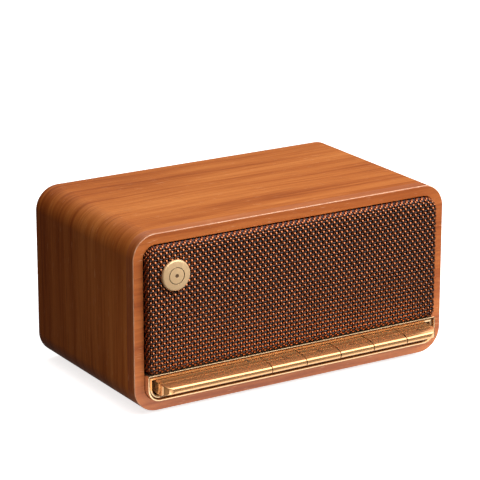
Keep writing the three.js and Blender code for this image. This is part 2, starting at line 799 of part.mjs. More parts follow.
function batteryHolder() {
  const reach = CELL.length / 2 + GAP;
  const [x0, x1] = [CELL.x - reach, CELL.x + reach];
  const [y0, y1] = [CELL.ys[0] - CELL.radius - GAP, CELL.ys[1] + CELL.radius + GAP];
  const { floor, wall, height } = HOLDER;
  const shell = block(x0 - wall, x1 + wall, y0 - wall, y1 + wall, floor, floor + height);
  const pocket = block(x0, x1, y0, y1, floor + wall, floor + 2 * height);
  return piece("battery_holder", cut(shell, pocket), blackPlastic);
}

function batteryCell(i) {
  const [low, high] = [CELL.x - CELL.length / 2, CELL.x + CELL.length / 2];
  const body = rod("x", CELL.radius, low, high - CELL.capHeight, CELL.ys[i], CELL.z, 24);
  const cap = rod("x", CELL.capRadius, high - 2 * CELL.capHeight, high, CELL.ys[i], CELL.z, 24);
  return piece("battery_cell_" + (i + 1), join(body, cap), batteryWrap);
}

const LEAD_RADIUS = 0.8;

// The routes of the leads, each from its own terminal to its place on the main board.
function leads() {
  const above = BOARD.top + GAP;
  const terminalBack = BAFFLE.back + GAP + 13 + GAP;
  const terminalZ = DRIVER_Z - 18.5;
  const left = [
    [-DRIVER_X, terminalBack, terminalZ],
    [-DRIVER_X, terminalBack + 4, terminalZ],
    [-43, -4, 26],
    [-45.5, 2, 21.5],
    [-46, 5, above + 1],
    [-46, 5.2, above],
  ];
  const right = [
    [DRIVER_X, terminalBack, terminalZ],
    [DRIVER_X, terminalBack + 4, terminalZ],
    [30, -4, 30.5],
    [10, -3, 31],
    [-8, -2, 29.5],
    [-18, 3, 24.5],
    [-21, 6.5, above + 1.5],
    [-21, 7, above],
  ];
  const holderLeft = CELL.x - CELL.length / 2 - GAP - HOLDER.wall - GAP;
  const battery = [
    [holderLeft, 20, 11.5],
    [holderLeft - 1.6, 20, 11.8],
    [-14.2, 20, 17],
    [-17, 20, 20.3],
    [-20, 20, above + 1.6],
    [-20.6, 20, above],
  ];
  return [
    piece("speaker_lead_left", wire(left, LEAD_RADIUS), redInsulation),
    piece("speaker_lead_right", wire(right, LEAD_RADIUS), redInsulation),
    piece("battery_lead", wire(battery, LEAD_RADIUS), redInsulation),
    keyRibbon(above),
  ];
}

// A flat ribbon from the key board back to the main board.
function keyRibbon(above) {
  const thickness = 0.4;
  const start = KEY_BOARD.front + KEY_BOARD.thickness + GAP;
  const lower = [
    [start, 13],
    [start + 5, 13],
    [-4, above],
    [4.5, above],
  ];
  const upper = lower.map(([y, z]) => [y, z + thickness]).reverse();
  const outline = new THREE.Shape([...lower, ...upper].map(([y, z]) => new THREE.Vector2(y, z)));
  return piece("key_ribbon", beam(outline, -44, -33), greyRibbon);
}

// ---------------------------------------------------------------- assembly

const group = new THREE.Group();
group.add(cabinetSleeve(), frontFrame(), grilleMesh(), grilleFrame(), badge(), badgeClip());
group.add(keyTrimRing(), keyTray(), fixedPlate(), statusLightPipe(), keyPivotRod(), keyBoard());
for (let i = 0; i < KEY_NAMES.length; i++) group.add(key(i), tactSwitch(i));
group.add(frontBaffle(), driver("left"), driver("right"));
group.add(rearPanel(), passiveRadiator(), ...SCREWS.map(rearScrew));
group.add(mainBoard(), boardCarrier(), chargePort(), audioJack(), cardSlot());
group.add(batteryHolder(), batteryCell(0), batteryCell(1), ...leads());
for (const [y, where] of [
  [FRONT + FOOT_INSET, "front"],
  [BACK - FOOT_INSET, "rear"],
]) {
  group.add(foot("foot_" + where + "_left", -FOOT_X, y));
  group.add(foot("foot_" + where + "_right", FOOT_X, y));
}

export default group;
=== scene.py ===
"""Looks for the compact wooden tabletop speaker.

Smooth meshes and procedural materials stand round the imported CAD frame. Lengths in the code are
millimetres until a mesh is made, when they become metres.
"""

import math

import bmesh
import bpy
import numpy as np
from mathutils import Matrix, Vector
from mathutils.geometry import tessellate_polygon


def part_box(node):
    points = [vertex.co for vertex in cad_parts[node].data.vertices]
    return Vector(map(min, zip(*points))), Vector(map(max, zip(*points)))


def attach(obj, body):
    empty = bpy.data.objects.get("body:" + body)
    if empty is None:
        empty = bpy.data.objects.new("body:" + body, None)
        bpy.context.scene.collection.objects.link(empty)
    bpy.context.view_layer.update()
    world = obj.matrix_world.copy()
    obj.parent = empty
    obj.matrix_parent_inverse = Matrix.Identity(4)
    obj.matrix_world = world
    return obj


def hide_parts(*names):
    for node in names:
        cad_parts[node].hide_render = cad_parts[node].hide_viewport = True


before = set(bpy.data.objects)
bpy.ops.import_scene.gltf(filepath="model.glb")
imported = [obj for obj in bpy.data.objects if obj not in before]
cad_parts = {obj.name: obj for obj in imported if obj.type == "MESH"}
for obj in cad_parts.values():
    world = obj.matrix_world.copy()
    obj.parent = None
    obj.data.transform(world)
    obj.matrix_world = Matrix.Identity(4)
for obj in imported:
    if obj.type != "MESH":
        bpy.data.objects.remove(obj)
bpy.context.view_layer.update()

MM = 0.001
SIDES = ("left", "right")
KEYS = ["power", "input", "play_pause", "volume_down", "volume_up"]
SCREWS = [f"rear_screw_{row}_{side}" for row in ("lower", "upper") for side in SIDES]
FEET = [f"foot_{row}_{side}" for row in ("front", "rear") for side in SIDES]
SHARP = math.radians(38)  # faces that meet at more than this keep a crisp edge


def limits(node):
    """The lowest and highest corner of a CAD node, in millimetres."""
    low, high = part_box(node)
    return np.array(low) / MM, np.array(high) / MM


def middle_of(node):
    """The middle of a CAD node's box, in millimetres."""
    low, high = limits(node)
    return (low + high) / 2


# ---- dimensions taken from the CAD frame

FRAME_LOW, FRAME_HIGH = limits("front_frame")
SLEEVE_LOW, SLEEVE_HIGH = limits("cabinet_sleeve")
HALF = FRAME_HIGH[0]
FRONT, BACK = FRAME_LOW[1], SLEEVE_HIGH[1]
BOTTOM, TOP = FRAME_LOW[2], FRAME_HIGH[2]
CORNER = 11.2
WALL = 5.0
OPENING = {"half": 76.45, "low": 7.5, "high": 78.0, "radius": 6.1}


def behind(proud):
    """The y of a point that stands so far in front of the wood's face."""
    return FRONT - proud


# ---- mesh helpers


def make(name, shape, material, replaces=(), body="cabinet", clean=False):
    """A mesh object in metres that rides on a CAD body. The shape is its points and its faces."""
    vertices, faces = shape
    mesh = bpy.data.meshes.new(name)
    mesh.from_pydata((np.asarray(vertices, float) * MM).tolist(), [], [list(map(int, f)) for f in faces])
    mesh.validate()
    mesh.update()
    item = place(name, mesh, material, replaces, body, True)
    if clean:
        tidy(item)
    return item


def make_fast(name, vertices, quads, material, replaces):
    """As make, for a large array of four-cornered faces that are all smooth."""
    mesh = bpy.data.meshes.new(name)
    mesh.vertices.add(len(vertices))
    mesh.vertices.foreach_set("co", (vertices * MM).astype(np.float32).ravel())
    mesh.loops.add(quads.size)
    mesh.loops.foreach_set("vertex_index", quads.astype(np.int32).ravel())
    mesh.polygons.add(len(quads))
    mesh.polygons.foreach_set("loop_start", np.arange(0, quads.size, 4, dtype=np.int32))
    mesh.update(calc_edges=True)
    return place(name, mesh, material, replaces, "cabinet", False)


def place(name, mesh, material, replaces, body, crisp):
    mesh.shade_smooth()
    item = bpy.data.objects.new(name, mesh)
    if crisp:
        mesh.set_sharp_from_angle(angle=SHARP)
        item.modifiers.new("flatten", "WEIGHTED_NORMAL").keep_sharp = True
    bpy.context.scene.collection.objects.link(item)
    mesh.materials.append(material)
    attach(item, body)
    if replaces:
        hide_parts(*replaces)
    return item


def tidy(item):
    """Merges points that meet, and makes all the faces look outwards."""
    mesh = bmesh.new()
    mesh.from_mesh(item.data)
    bmesh.ops.remove_doubles(mesh, verts=mesh.verts, dist=0.000002)
    bmesh.ops.dissolve_degenerate(mesh, edges=mesh.edges, dist=0.000001)
    bmesh.ops.recalc_face_normals(mesh, faces=mesh.faces)
    mesh.to_mesh(item.data)
    mesh.free()
    item.data.shade_smooth()
    item.data.set_sharp_from_angle(angle=SHARP)


def box(x0, x1, y0, y1, z0, z1):
    vertices = [(x, y, z) for x in (x0, x1) for y in (y0, y1) for z in (z0, z1)]
    return vertices, [(0, 1, 3, 2), (4, 6, 7, 5), (0, 4, 5, 1), (2, 3, 7, 6), (0, 2, 6, 4), (1, 5, 7, 3)]


def joined(*parts):
    vertices, faces = [], []
    for points, corners in parts:
        start = len(vertices)
        vertices += [tuple(p) for p in points]
        faces += [tuple(start + int(i) for i in f) for f in corners]
    return vertices, faces


def outline(x0, x1, z0, z1, low, high=None, steps=12):
    """A rounded rectangle as points in x and z, counter-clockwise from the middle of its lower side."""
    high = low if high is None else high
    corners = [
        (x1 - low, z0 + low, low, -90),
        (x1 - high, z1 - high, high, 0),
        (x0 + high, z1 - high, high, 90),
        (x0 + low, z0 + low, low, 180),
    ]
    points = [((x0 + x1) / 2, z0)]
    for x, z, radius, start in corners:
        for angle in np.radians(np.linspace(start, start + 90, steps + 1)):
            points.append((x + radius * math.cos(angle), z + radius * math.sin(angle)))
    return np.array(points)


def loop_at(points, y):
    """The outline's points at one depth."""
    return np.column_stack([points[:, 0], np.full(len(points), y), points[:, 1]])


def loft(loops, closed=True):
    """Faces between each loop and the next. A closed loft joins the last loop to the first."""
    count, n = len(loops), len(loops[0])
    vertices = np.concatenate(loops)
    faces = []
    for i in range(count if closed else count - 1):
        k = (i + 1) % count
        for j in range(n):
            m = (j + 1) % n
            faces.append((i * n + j, i * n + m, k * n + m, k * n + j))
    return vertices, faces


def quarter(centre, radius, start, end, steps=4):
    """Points on an arc as pairs, from one angle to another in degrees."""
    angles = np.radians(np.linspace(start, end, steps + 1))
    return [(centre[0] + radius * math.cos(a), centre[1] + radius * math.sin(a)) for a in angles]


def turned(profile, centre, axis="y", sides=96):
    """A profile of (radius, along) turned about an axis through the centre. Ends on the axis close it."""
    vertices, faces, rings = [], [], []
    angles = np.linspace(0, 2 * math.pi, sides, endpoint=False)
    for radius, along in profile:
        start = len(vertices)
        if radius < 1e-6:
            ring = [start]
            around = [(0.0, 0.0)]
        else:
            ring = list(range(start, start + sides))
            around = [(radius * math.cos(a), radius * math.sin(a)) for a in angles]
        for a, b in around:
            point = (a, along, b) if axis == "y" else (a, b, along)
            vertices.append(np.add(point, centre))
        rings.append(ring)
    for one, two in zip(rings, rings[1:]):
        for j in range(sides):
            m = (j + 1) % sides
            corners = [one[j % len(one)], one[m % len(one)], two[m % len(two)], two[j % len(two)]]
            kept = [c for i, c in enumerate(corners) if c not in corners[:i]]
            if len(kept) > 2:
                faces.append(kept)
    return np.array(vertices), faces


# ---- material helpers


def rgba(value):
    """A colour with its alpha, from a grey level or from red, green and blue."""
    return (*value, 1) if hasattr(value, "__len__") else (value, value, value, 1)


def feed(tree, socket, value):
    """Links a socket to another node's output, or sets its own value."""
    if isinstance(value, bpy.types.NodeSocket):
        tree.links.new(value, socket)
    else:
        socket.default_value = value


def set_stops(node, stops):
    """The stops of a new colour ramp, as (position, grey level or colour)."""
    elements = node.color_ramp.elements
    while len(elements) < len(stops):
        elements.new(0.5)
    for element, (position, value) in zip(elements, stops):
        element.position = position
        element.color = rgba(value)
    return node.outputs[0]


class Surface:
    """A procedural material on one Principled shader."""

    def __init__(self, name, **fixed):
        self.material = bpy.data.materials.new(name)
        self.material.use_nodes = True
        self.tree = self.material.node_tree
        self.shader = self.tree.nodes["Principled BSDF"]
        for socket, value in fixed.items():
            self.shader.inputs[socket.replace("_", " ")].default_value = value

    def node(self, kind, values=(), **settings):
        made = self.tree.nodes.new(kind)
        for key, value in settings.items():
            setattr(made, key, value)
        for socket, value in dict(values).items():
            feed(self.tree, made.inputs[socket], value)
        return made

    def set(self, socket, value):
        self.tree.links.new(value, self.shader.inputs[socket])

    def place(self):
        return self.node("ShaderNodeTexCoord").outputs["Object"]

    def stretch(self, vector, scale, offset=(0, 0, 0)):
        values = {"Vector": vector, "Scale": scale, "Location": offset}
        return self.node("ShaderNodeMapping", values).outputs[0]

    def noise(self, vector, scale=1.0, detail=2.0, roughness=0.5):
        values = {"Vector": vector, "Scale": scale, "Detail": detail, "Roughness": roughness}
        return self.node("ShaderNodeTexNoise", values).outputs["Fac"]

    def ramp(self, factor, stops):
        return set_stops(self.node("ShaderNodeValToRGB", {"Fac": factor}), stops)

    def mix(self, factor, a, b, blend="MIX"):
        made = self.node("ShaderNodeMix", data_type="RGBA", blend_type=blend)
        for socket, value in ((0, factor), (6, a), (7, b)):
            feed(self.tree, made.inputs[socket], (*value, 1) if isinstance(value, tuple) else value)
        return made.outputs[2]

    def maths(self, operation, a, b=0.0, clamp=False):
        return self.node("ShaderNodeMath", {0: a, 1: b}, operation=operation, use_clamp=clamp).outputs[0]

    def scale(self, factor, low, high):
        """A value from 0 to 1, spread from low to high."""
        values = {"Value": factor, "To Min": low, "To Max": high}
        return self.node("ShaderNodeMapRange", values).outputs["Result"]

    def bump(self, height, distance, strength):
        made = self.node("ShaderNodeBump", {"Height": height, "Distance": distance, "Strength": strength})
        self.set("Normal", made.outputs["Normal"])


def wood(name, seed, edge_highlight=0.0, tint=(1.0, 1.0, 1.0), shine=0.16, specks=0.55):
    """Oiled reddish walnut veneer. The UV map named grain runs along the grain in metres."""
    s = Surface(name, Specular_IOR_Level=shine)
    grain = s.node("ShaderNodeUVMap", uv_map="grain").outputs["UV"]
    wander = s.noise(s.stretch(grain, (9, 34, 1), (seed, 0, 0)), 1, 2, 0.5)
    shifted = s.node("ShaderNodeCombineXYZ", {"Y": s.maths("MULTIPLY", wander, 0.007)}).outputs[0]
    lines = s.node("ShaderNodeVectorMath", {0: grain, 1: shifted}, operation="ADD").outputs[0]
    bands = s.noise(s.stretch(lines, (5, 95, 1), (seed, 3, 0)), 1, 3, 0.55)
    streaks = s.noise(s.stretch(lines, (20, 620, 1), (seed, 7, 0)), 1, 3, 0.6)
    fibres = s.noise(s.stretch(lines, (190, 5200, 1), (seed, 1, 0)), 1, 2, 0.6)
    dashes = s.noise(s.stretch(lines, (38, 1150, 1), (seed, 13, 0)), 1, 1, 0.5)
    flecks = s.noise(s.stretch(lines, (150, 2300, 1), (seed, 29, 0)), 1, 1, 0.5)
    tone = s.maths("ADD", s.maths("MULTIPLY", bands, 0.62), s.maths("MULTIPLY", streaks, 0.38))
    base = s.ramp(tone, [
        (0.34, (0.300, 0.066, 0.010)),
        (0.45, (0.430, 0.115, 0.020)),
        (0.55, (0.530, 0.163, 0.033)),
        (0.68, (0.635, 0.222, 0.055)),
    ])
    fibre = s.scale(fibres, 0.80, 1.18)
    grey = s.node("ShaderNodeCombineColor", {0: fibre, 1: fibre, 2: fibre}).outputs[0]
    colour = s.mix(1.0, base, grey, "MULTIPLY")
    colour = s.mix(1.0, colour, tint, "MULTIPLY")
    dark = s.ramp(dashes, [(0.66, 0.0), (0.76, 0.75)])
    colour = s.mix(dark, colour, (0.250, 0.060, 0.012))
    pale = s.ramp(flecks, [(0.69, 0.0), (0.78, specks)])
    colour = s.mix(pale, colour, (0.84, 0.47, 0.26))
    # Painted highlight: the colour is pulled towards pale walnut in patches, standing for the sheen along
    # the frame's front edge.
    if edge_highlight:
        highlight_patches = s.ramp(s.noise(s.place(), 260, 3, 0.6), [(0.30, 0.35 * edge_highlight), (0.65, edge_highlight)])
        colour = s.mix(highlight_patches, colour, (0.74, 0.44, 0.27))
    s.set("Base Color", colour)
    s.set("Roughness", s.scale(streaks, 0.50, 0.34))
    pores = s.maths("ADD", s.maths("MULTIPLY", fibres, 0.6), s.maths("MULTIPLY", streaks, 0.4))
    s.bump(pores, 0.00006, 0.35)
    return s.material


LACQUER_ROUGHNESS = 0.1


def metal(name, colour, roughness, grain=(1, 1, 1), size=900, variation=0.05, bump=0.1, shade=0.9,
          metallic=1.0, lacquer=0.0):
    """A plated or brushed metal: cloudy roughness, and fine marks that the grain stretches."""
    s = Surface(name, **{"Metallic": metallic, "Coat Weight": lacquer, "Coat Roughness": LACQUER_ROUGHNESS})
    where = s.place()
    clouds = s.noise(where, 70, 3, 0.55)
    marks = s.noise(s.stretch(where, grain), size, 3, 0.6)
    darker = tuple(c * shade for c in colour)
    s.set("Base Color", s.mix(s.ramp(clouds, [(0.35, 0.0), (0.65, 1.0)]), colour, darker))
    uneven = s.maths("ADD", s.scale(clouds, -variation, variation), s.scale(marks, -variation, variation))
    s.set("Roughness", s.maths("ADD", uneven, roughness, True))
    s.bump(marks, 0.00001, bump)
    return s.material


def moulded(name, colour, roughness, size=2600, bump=0.35, depth=0.00003, speck=0.15, **fixed):
    """Moulded plastic, rubber or paint: a fine pebbled surface with a slight change of tone."""
    s = Surface(name, **fixed)
    where = s.place()
    pebbles = s.noise(where, size, 2, 0.5)
    clouds = s.noise(where, 45, 3, 0.5)
    lighter = tuple(min(1.0, c * (1 + 2 * speck) + 0.004) for c in colour)
    darker = tuple(c * (1 - speck) for c in colour)
    tone = s.maths("ADD", s.maths("MULTIPLY", clouds, 0.6), s.maths("MULTIPLY", pebbles, 0.4))
    s.set("Base Color", s.mix(s.ramp(tone, [(0.35, 0.0), (0.65, 1.0)]), darker, lighter))
    s.set("Roughness", s.scale(clouds, roughness - 0.07, roughness + 0.07))
    s.bump(pebbles, depth, bump)
    return s.material


WALNUT = wood("oiled_walnut", 0.0)
FRONT_TINT = (0.90, 0.80, 0.78)
WALNUT_FRONT = wood("oiled_walnut_front", 4.3, tint=FRONT_TINT, shine=0.75, specks=0.8)
# The front edge's walnut, paler in patches: a painted highlight.
WALNUT_EDGE_HIGHLIGHT = wood("oiled_walnut_painted_edge_highlight", 4.3, 0.8, FRONT_TINT, 0.75)
COPPER = metal("woven_copper", (0.54, 0.19, 0.082), 0.27, size=1500, variation=0.05)
GREY_WIRE = metal("woven_grey", (0.105, 0.092, 0.098), 0.36, size=1500, variation=0.06)
PALE_GOLD = metal("pale_gold", (1.0, 0.68, 0.37), 0.38, (40, 1, 1), 120, 0.04, 0.10, metallic=0.45)
POLISHED = {"size": 300, "variation": 0.02, "bump": 0.01, "shade": 0.97}
GOLD_TRIM = metal("gold_trim", (0.93, 0.64, 0.36), 0.17, metallic=0.88, **POLISHED)
GOLD_KEYS = metal("gold_keys", (0.95, 0.50, 0.205), 0.22, metallic=0.84, lacquer=0.7, **POLISHED)
# Dark gold laid where dark lines are wanted: painted shade in the trim ring's groove, on its upper rim face
# and on the keys' cut ends.
GOLD_PAINTED_SHADE = metal("gold_painted_shade", (0.22, 0.10, 0.035), 0.42, size=300, variation=0.05, bump=0.05)
BADGE_DARK = moulded("badge_groove", (0.12, 0.065, 0.03), 0.5)
ICON_INK = moulded("icon_ink", (0.075, 0.028, 0.010), 0.45)
STEEL = metal("zinc_plate", (0.68, 0.69, 0.70), 0.28, size=700, variation=0.07)
MAGNET = metal("magnet_nickel", (0.30, 0.31, 0.33), 0.38, size=600, variation=0.08)
DARK_METAL = moulded("powder_coat", (0.030, 0.030, 0.033), 0.48, 3200, 0.5, Metallic=0.0)
BLACK_PLASTIC = moulded("black_plastic", (0.020, 0.020, 0.021), 0.5)
PAPER = moulded("cone_paper", (0.030, 0.029, 0.028), 0.82, 900, 0.6)
RUBBER = moulded("rubber", (0.014, 0.014, 0.014), 0.72, 1500, 0.3)
COPPER_WIRE = metal("lacquered_copper", (0.70, 0.33, 0.17), 0.33, (1, 60, 1), 60, 0.05)
BOARD_GREEN = moulded("circuit_board", (0.018, 0.115, 0.055), 0.38, 500, 0.2, speck=0.3)
CELL_WRAP = moulded("cell_wrap", (0.045, 0.16, 0.33), 0.35, 600, 0.1)
INSULATION = moulded("red_insulation", (0.36, 0.022, 0.018), 0.42, 1200, 0.15)
RIBBON = moulded("grey_ribbon", (0.50, 0.50, 0.48), 0.45, 900, 0.2)
# The key tray's warm brown is painted light: it stands for gold light bouncing into the gaps round the bar,
# on a tray that is black plastic.
TRAY_PAINTED_BOUNCE = moulded("tray_painted_bounce", (0.060, 0.022, 0.008), 0.5)
CLEAR = moulded("light_lens", (0.055, 0.045, 0.035), 0.12, 900, 0.05, Coat_Weight=0.6)

# The CAD nodes that are shown as they are, by finish.
CARRIED = [
    (BLACK_PLASTIC, ["grille_frame", "front_baffle", "board_carrier", "audio_jack", "battery_holder"]),
    (STEEL, ["badge_clip", "key_pivot_rod", "card_slot"]),
    (BOARD_GREEN, ["key_board", "main_board"]),
    (CELL_WRAP, ["battery_cell_1", "battery_cell_2"]),
    (INSULATION, ["speaker_lead_left", "speaker_lead_right", "battery_lead"]),
    (TRAY_PAINTED_BOUNCE, ["key_tray"]),
    (RIBBON, ["key_ribbon"]),
    (CLEAR, ["status_light_pipe"]),
    (DARK_METAL, ["switch_" + key for key in KEYS] + ["driver_basket_" + side for side in SIDES]),
    (PAPER, ["driver_cone_" + side for side in SIDES]),
    (COPPER_WIRE, ["driver_voice_coil_" + side for side in SIDES]),
    (MAGNET, ["driver_magnet_" + side for side in SIDES]),
]


WELD, BEVEL, BEVEL_ANGLE = 0.00001, 0.00012, math.radians(50)


def dress(node, material):
    """A CAD node keeps its mesh, and gets its finish, joined facets and slightly rounded edges."""
    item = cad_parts[node]
    item.data.materials.clear()
    item.data.materials.append(material)
    item.modifiers.new("weld", "WELD").merge_threshold = WELD
    bevel = item.modifiers.new("bevel", "BEVEL")
    bevel.width = BEVEL
    bevel.segments = 2
    bevel.angle_limit = BEVEL_ANGLE


for material, nodes in CARRIED:
    for node in nodes:
        dress(node, material)


# ---- wooden cabinet


def perimeter(inset):
    """The cabinet's outline from the front, drawn in by the inset."""
    radius = max(CORNER - inset, 0.3)
    return outline(-HALF + inset, HALF - inset, BOTTOM + inset, TOP - inset, radius, steps=20)


def run_length():
    """Points close together round the cabinet, as x, z and the length run so far."""
    base = np.vstack([perimeter(0), perimeter(0)[:1]])
    points = []
    for start, end in zip(base, base[1:]):
        points += [start + (end - start) * t for t in np.linspace(0, 1, 9)[:-1]]
    points = np.array(points + [base[-1]])
    steps = np.hypot(*np.diff(points, axis=0).T)
    return np.column_stack([points, np.concatenate([[0], np.cumsum(steps)])])


ROUND_RUN = run_length()


def grained(item, flat_limit):
    """Gives the mesh its grain map: round the cabinet on the outside, and straight across on the faces."""
    mesh = item.data
    layer = mesh.uv_layers.new(name="grain")
    length = ROUND_RUN[:, 2]
    total = length[-1]

    def run_at(point):
        distance = np.hypot(ROUND_RUN[:, 0] - point.x, ROUND_RUN[:, 1] - point.z)
        return float(length[int(distance.argmin())])

    for polygon in mesh.polygons:
        flat = abs(polygon.normal.y) > flat_limit
        reference = run_at(polygon.center / MM)
        for loop in polygon.loop_indices:
            co = mesh.vertices[mesh.loops[loop].vertex_index].co / MM
            uv = (co.x, co.z)
            if not flat:
                run = run_at(co)
                if run - reference > total / 2:
                    run -= total
                if reference - run > total / 2:
                    run += total
                uv = (run, co.y)
            layer.data[loop].uv = (uv[0] * MM, uv[1] * MM)


def build_sleeve():
    """The wooden tube, with a square block in each corner that takes a rear screw."""
    start, block = SLEEVE_LOW[1], 11
    rear = quarter((0.9, BACK - 0.9), 0.9, 180, 90, 5)
    inner_rear = quarter((WALL - 0.4, BACK - 0.4), 0.4, 90, 0, 3)
    profile = [(WALL, start), (0, start)] + rear + inner_rear
    shell = loft([loop_at(perimeter(inset), y) for inset, y in profile])
    block_back = limits("rear_panel")[1][1] - 3.3
    inner = HALF - WALL + 0.2
    low, high = BOTTOM + WALL, TOP - WALL
    blocks = []
    for x0, x1 in ((-inner, block - inner), (inner - block, inner)):
        for z0, z1 in ((low - 0.2, low + block), (high - block, high + 0.2)):
            blocks.append(box(x0, x1, block_back - block, block_back, z0, z1))
    item = make("cabinet_shell", joined(shell, *blocks), WALNUT, ["cabinet_sleeve"])
    grained(item, 0.72)


def build_front_frame():
    rear = SLEEVE_LOW[1]
    outer_round, inner_round = 0.42, 0.35

    def opening(inset):
        o = OPENING
        return outline(-o["half"] + inset, o["half"] - inset, o["low"] + inset, o["high"] - inset,
                       o["radius"] - inset, steps=20)

    loops = [loop_at(perimeter(0), rear)]
    for inset, y in quarter((outer_round, FRONT + outer_round), outer_round, 180, 270, 5):
        loops.append(loop_at(perimeter(inset), y))
    for out, y in quarter((inner_round, FRONT + inner_round), inner_round, 270, 180, 4):
        loops.append(loop_at(opening(-out), y))
    loops.append(loop_at(opening(0), rear))
    item = make("front_frame_wood", loft(loops), WALNUT_FRONT, ["front_frame"])
    grained(item, 0.30)
    # The faces round the frame's outer front edge take the paler walnut: a painted highlight line along the
    # edge.
    item.data.materials.append(WALNUT_EDGE_HIGHLIGHT)
    half_height = (TOP - BOTTOM) / 2
    near = outer_round + 0.01
    for polygon in item.data.polygons:
        if -0.97 < polygon.normal.y < -0.15:
            x, _, z = polygon.center / MM
            up = abs(z - (TOP + BOTTOM) / 2)
            over_x, over_z = abs(x) - (HALF - CORNER), up - (half_height - CORNER)
            if over_x > 0 and over_z > 0:
                on_highlight_edge = math.hypot(over_x, over_z) > CORNER - 0.7
            else:
                on_highlight_edge = abs(x) > HALF - near or up > half_height - near
            if on_highlight_edge:
                polygon.material_index = 1


build_sleeve()
build_front_frame()


# ---- woven grille

GRILLE_LOW, GRILLE_HIGH = limits("grille_mesh")
GRILLE_FACE = FRONT - GRILLE_LOW[1]
GRILLE_EDGE = 2.5
CORE = {
    "half": GRILLE_HIGH[0] - GRILLE_EDGE,
    "low": GRILLE_LOW[2] + GRILLE_EDGE,
    "high": GRILLE_HIGH[2] - GRILLE_EDGE,
    "low_radius": 0.4,
    "high_radius": 3.5,
}
# The copper wires run up (warp), and the grey ones across (weft). A section is half its width and
# half its thickness, and a crimp is how far the wire waves each way.
WARP_PITCH, WEFT_PITCH = 1.39, 1.775
WARP_SECTION, WEFT_SECTION = (0.57, 0.29), (0.40, 0.26)
WARP_CRIMP, WEFT_CRIMP = 0.385, 0.17
WEAVE_DEPTH = WARP_CRIMP + WARP_SECTION[1]


def drape(points):
    """Takes points on a flat sheet (across, up, out) onto the formed grille with its rounded rim."""
    u, v, h = points[:, 0], points[:, 1], points[:, 2]
    radius = np.where(v > (CORE["low"] + CORE["high"]) / 2, CORE["high_radius"], CORE["low_radius"])
    cx = CORE["half"] - radius
    low, high = CORE["low"] + radius, CORE["high"] - radius
    near_x = np.clip(u, -cx, cx)
    near_z = np.clip(v, low, high)
    dx, dz = u - near_x, v - near_z
    far = np.hypot(dx, dz)
    safe = np.maximum(far, 1e-9)
    nx, nz = dx / safe, dz / safe
    past = np.maximum(far - radius, 0)
    bend = GRILLE_EDGE * math.pi / 2
    angle = np.minimum(past / GRILLE_EDGE, math.pi / 2)
    straight = np.maximum(past - bend, 0)
    inside = np.minimum(far, radius)
    out = inside + (GRILLE_EDGE + h) * np.sin(angle)
    forward = GRILLE_FACE - GRILLE_EDGE + (GRILLE_EDGE + h) * np.cos(angle) - straight
    return np.column_stack([near_x + nx * out, FRONT - forward, near_z + nz * out])


def wires(lines, start, end, pitch, section, crimp, across):
    """Tubes on the flat sheet. Each line is (place, parity), and runs from start to end over crossings."""
    per_crossing, sides = 5, 8
    first = math.floor(start / pitch)
    last = math.ceil(end / pitch)
    steps = np.arange(first * per_crossing, last * per_crossing + 1) / per_crossing
    ring = np.linspace(0, 2 * math.pi, sides, endpoint=False) + math.pi / sides
    wide, thick = section[0] * np.cos(ring), section[1] * np.sin(ring)
    vertices, quads, count = [], [], 0
    n = len(steps)
    grid = np.arange(n * sides).reshape(n, sides)
    turned_grid = np.roll(grid, -1, axis=1)
    block = np.stack([grid[:-1], turned_grid[:-1], turned_grid[1:], grid[1:]], axis=-1).reshape(-1, 4)
    if across:
        block = block[:, ::-1]
    for place_at, parity in lines:
        phase = math.pi * (steps + 0.5 + parity)
        height = crimp * np.sin(phase)
        slope = crimp * math.pi / pitch * np.cos(phase)
        tilt = np.arctan(slope)
        along = (steps * pitch)[:, None] - thick[None, :] * np.sin(tilt)[:, None]
        out = height[:, None] + thick[None, :] * np.cos(tilt)[:, None] - WEAVE_DEPTH
        side = place_at + np.broadcast_to(wide[None, :], along.shape)
        flat = np.stack([along, side, out] if across else [side, along, out], axis=-1).reshape(-1, 3)
        vertices.append(flat)
        quads.append(block + count)
        count += n * sides
    return np.concatenate(vertices), np.concatenate(quads)


def build_grille():
    hidden = GRILLE_EDGE * math.pi / 2 + 2.6
    left, right = -CORE["half"] - hidden, CORE["half"] + hidden
    low, high = CORE["low"] - hidden, CORE["high"] + hidden
    columns = np.arange(math.ceil(left / WARP_PITCH), math.floor(right / WARP_PITCH) + 1)
    middle = (CORE["low"] + CORE["high"]) / 2
    rows = np.arange(math.ceil((low - middle) / WEFT_PITCH), math.floor((high - middle) / WEFT_PITCH) + 1)
    for name, chosen in (("left", columns[: len(columns) // 2]), ("right", columns[len(columns) // 2:])):
        lines = [(c * WARP_PITCH, c % 2) for c in chosen]
        flat, quads = wires(lines, low - middle, high - middle, WEFT_PITCH, WARP_SECTION, WARP_CRIMP, False)
        flat[:, 1] += middle
        make_fast("grille_warp_" + name, drape(flat), quads, COPPER, ["grille_mesh"])
    half = len(rows) // 2
    for name, chosen in (("lower", rows[:half]), ("upper", rows[half:])):
        lines = [(r * WEFT_PITCH, r % 2) for r in chosen]
        flat, quads = wires(lines, left, right, WARP_PITCH, WEFT_SECTION, -WEFT_CRIMP, True)
        flat[:, 1] += middle
        make_fast("grille_weft_" + name, drape(flat), quads, GREY_WIRE, ["grille_mesh"])


build_grille()


# ---- badge

BADGE_LOW, BADGE_HIGH = limits("badge")
BADGE_X, _, BADGE_Z = middle_of("badge")
BADGE_RADIUS = (BADGE_HIGH[2] - BADGE_LOW[2]) / 2


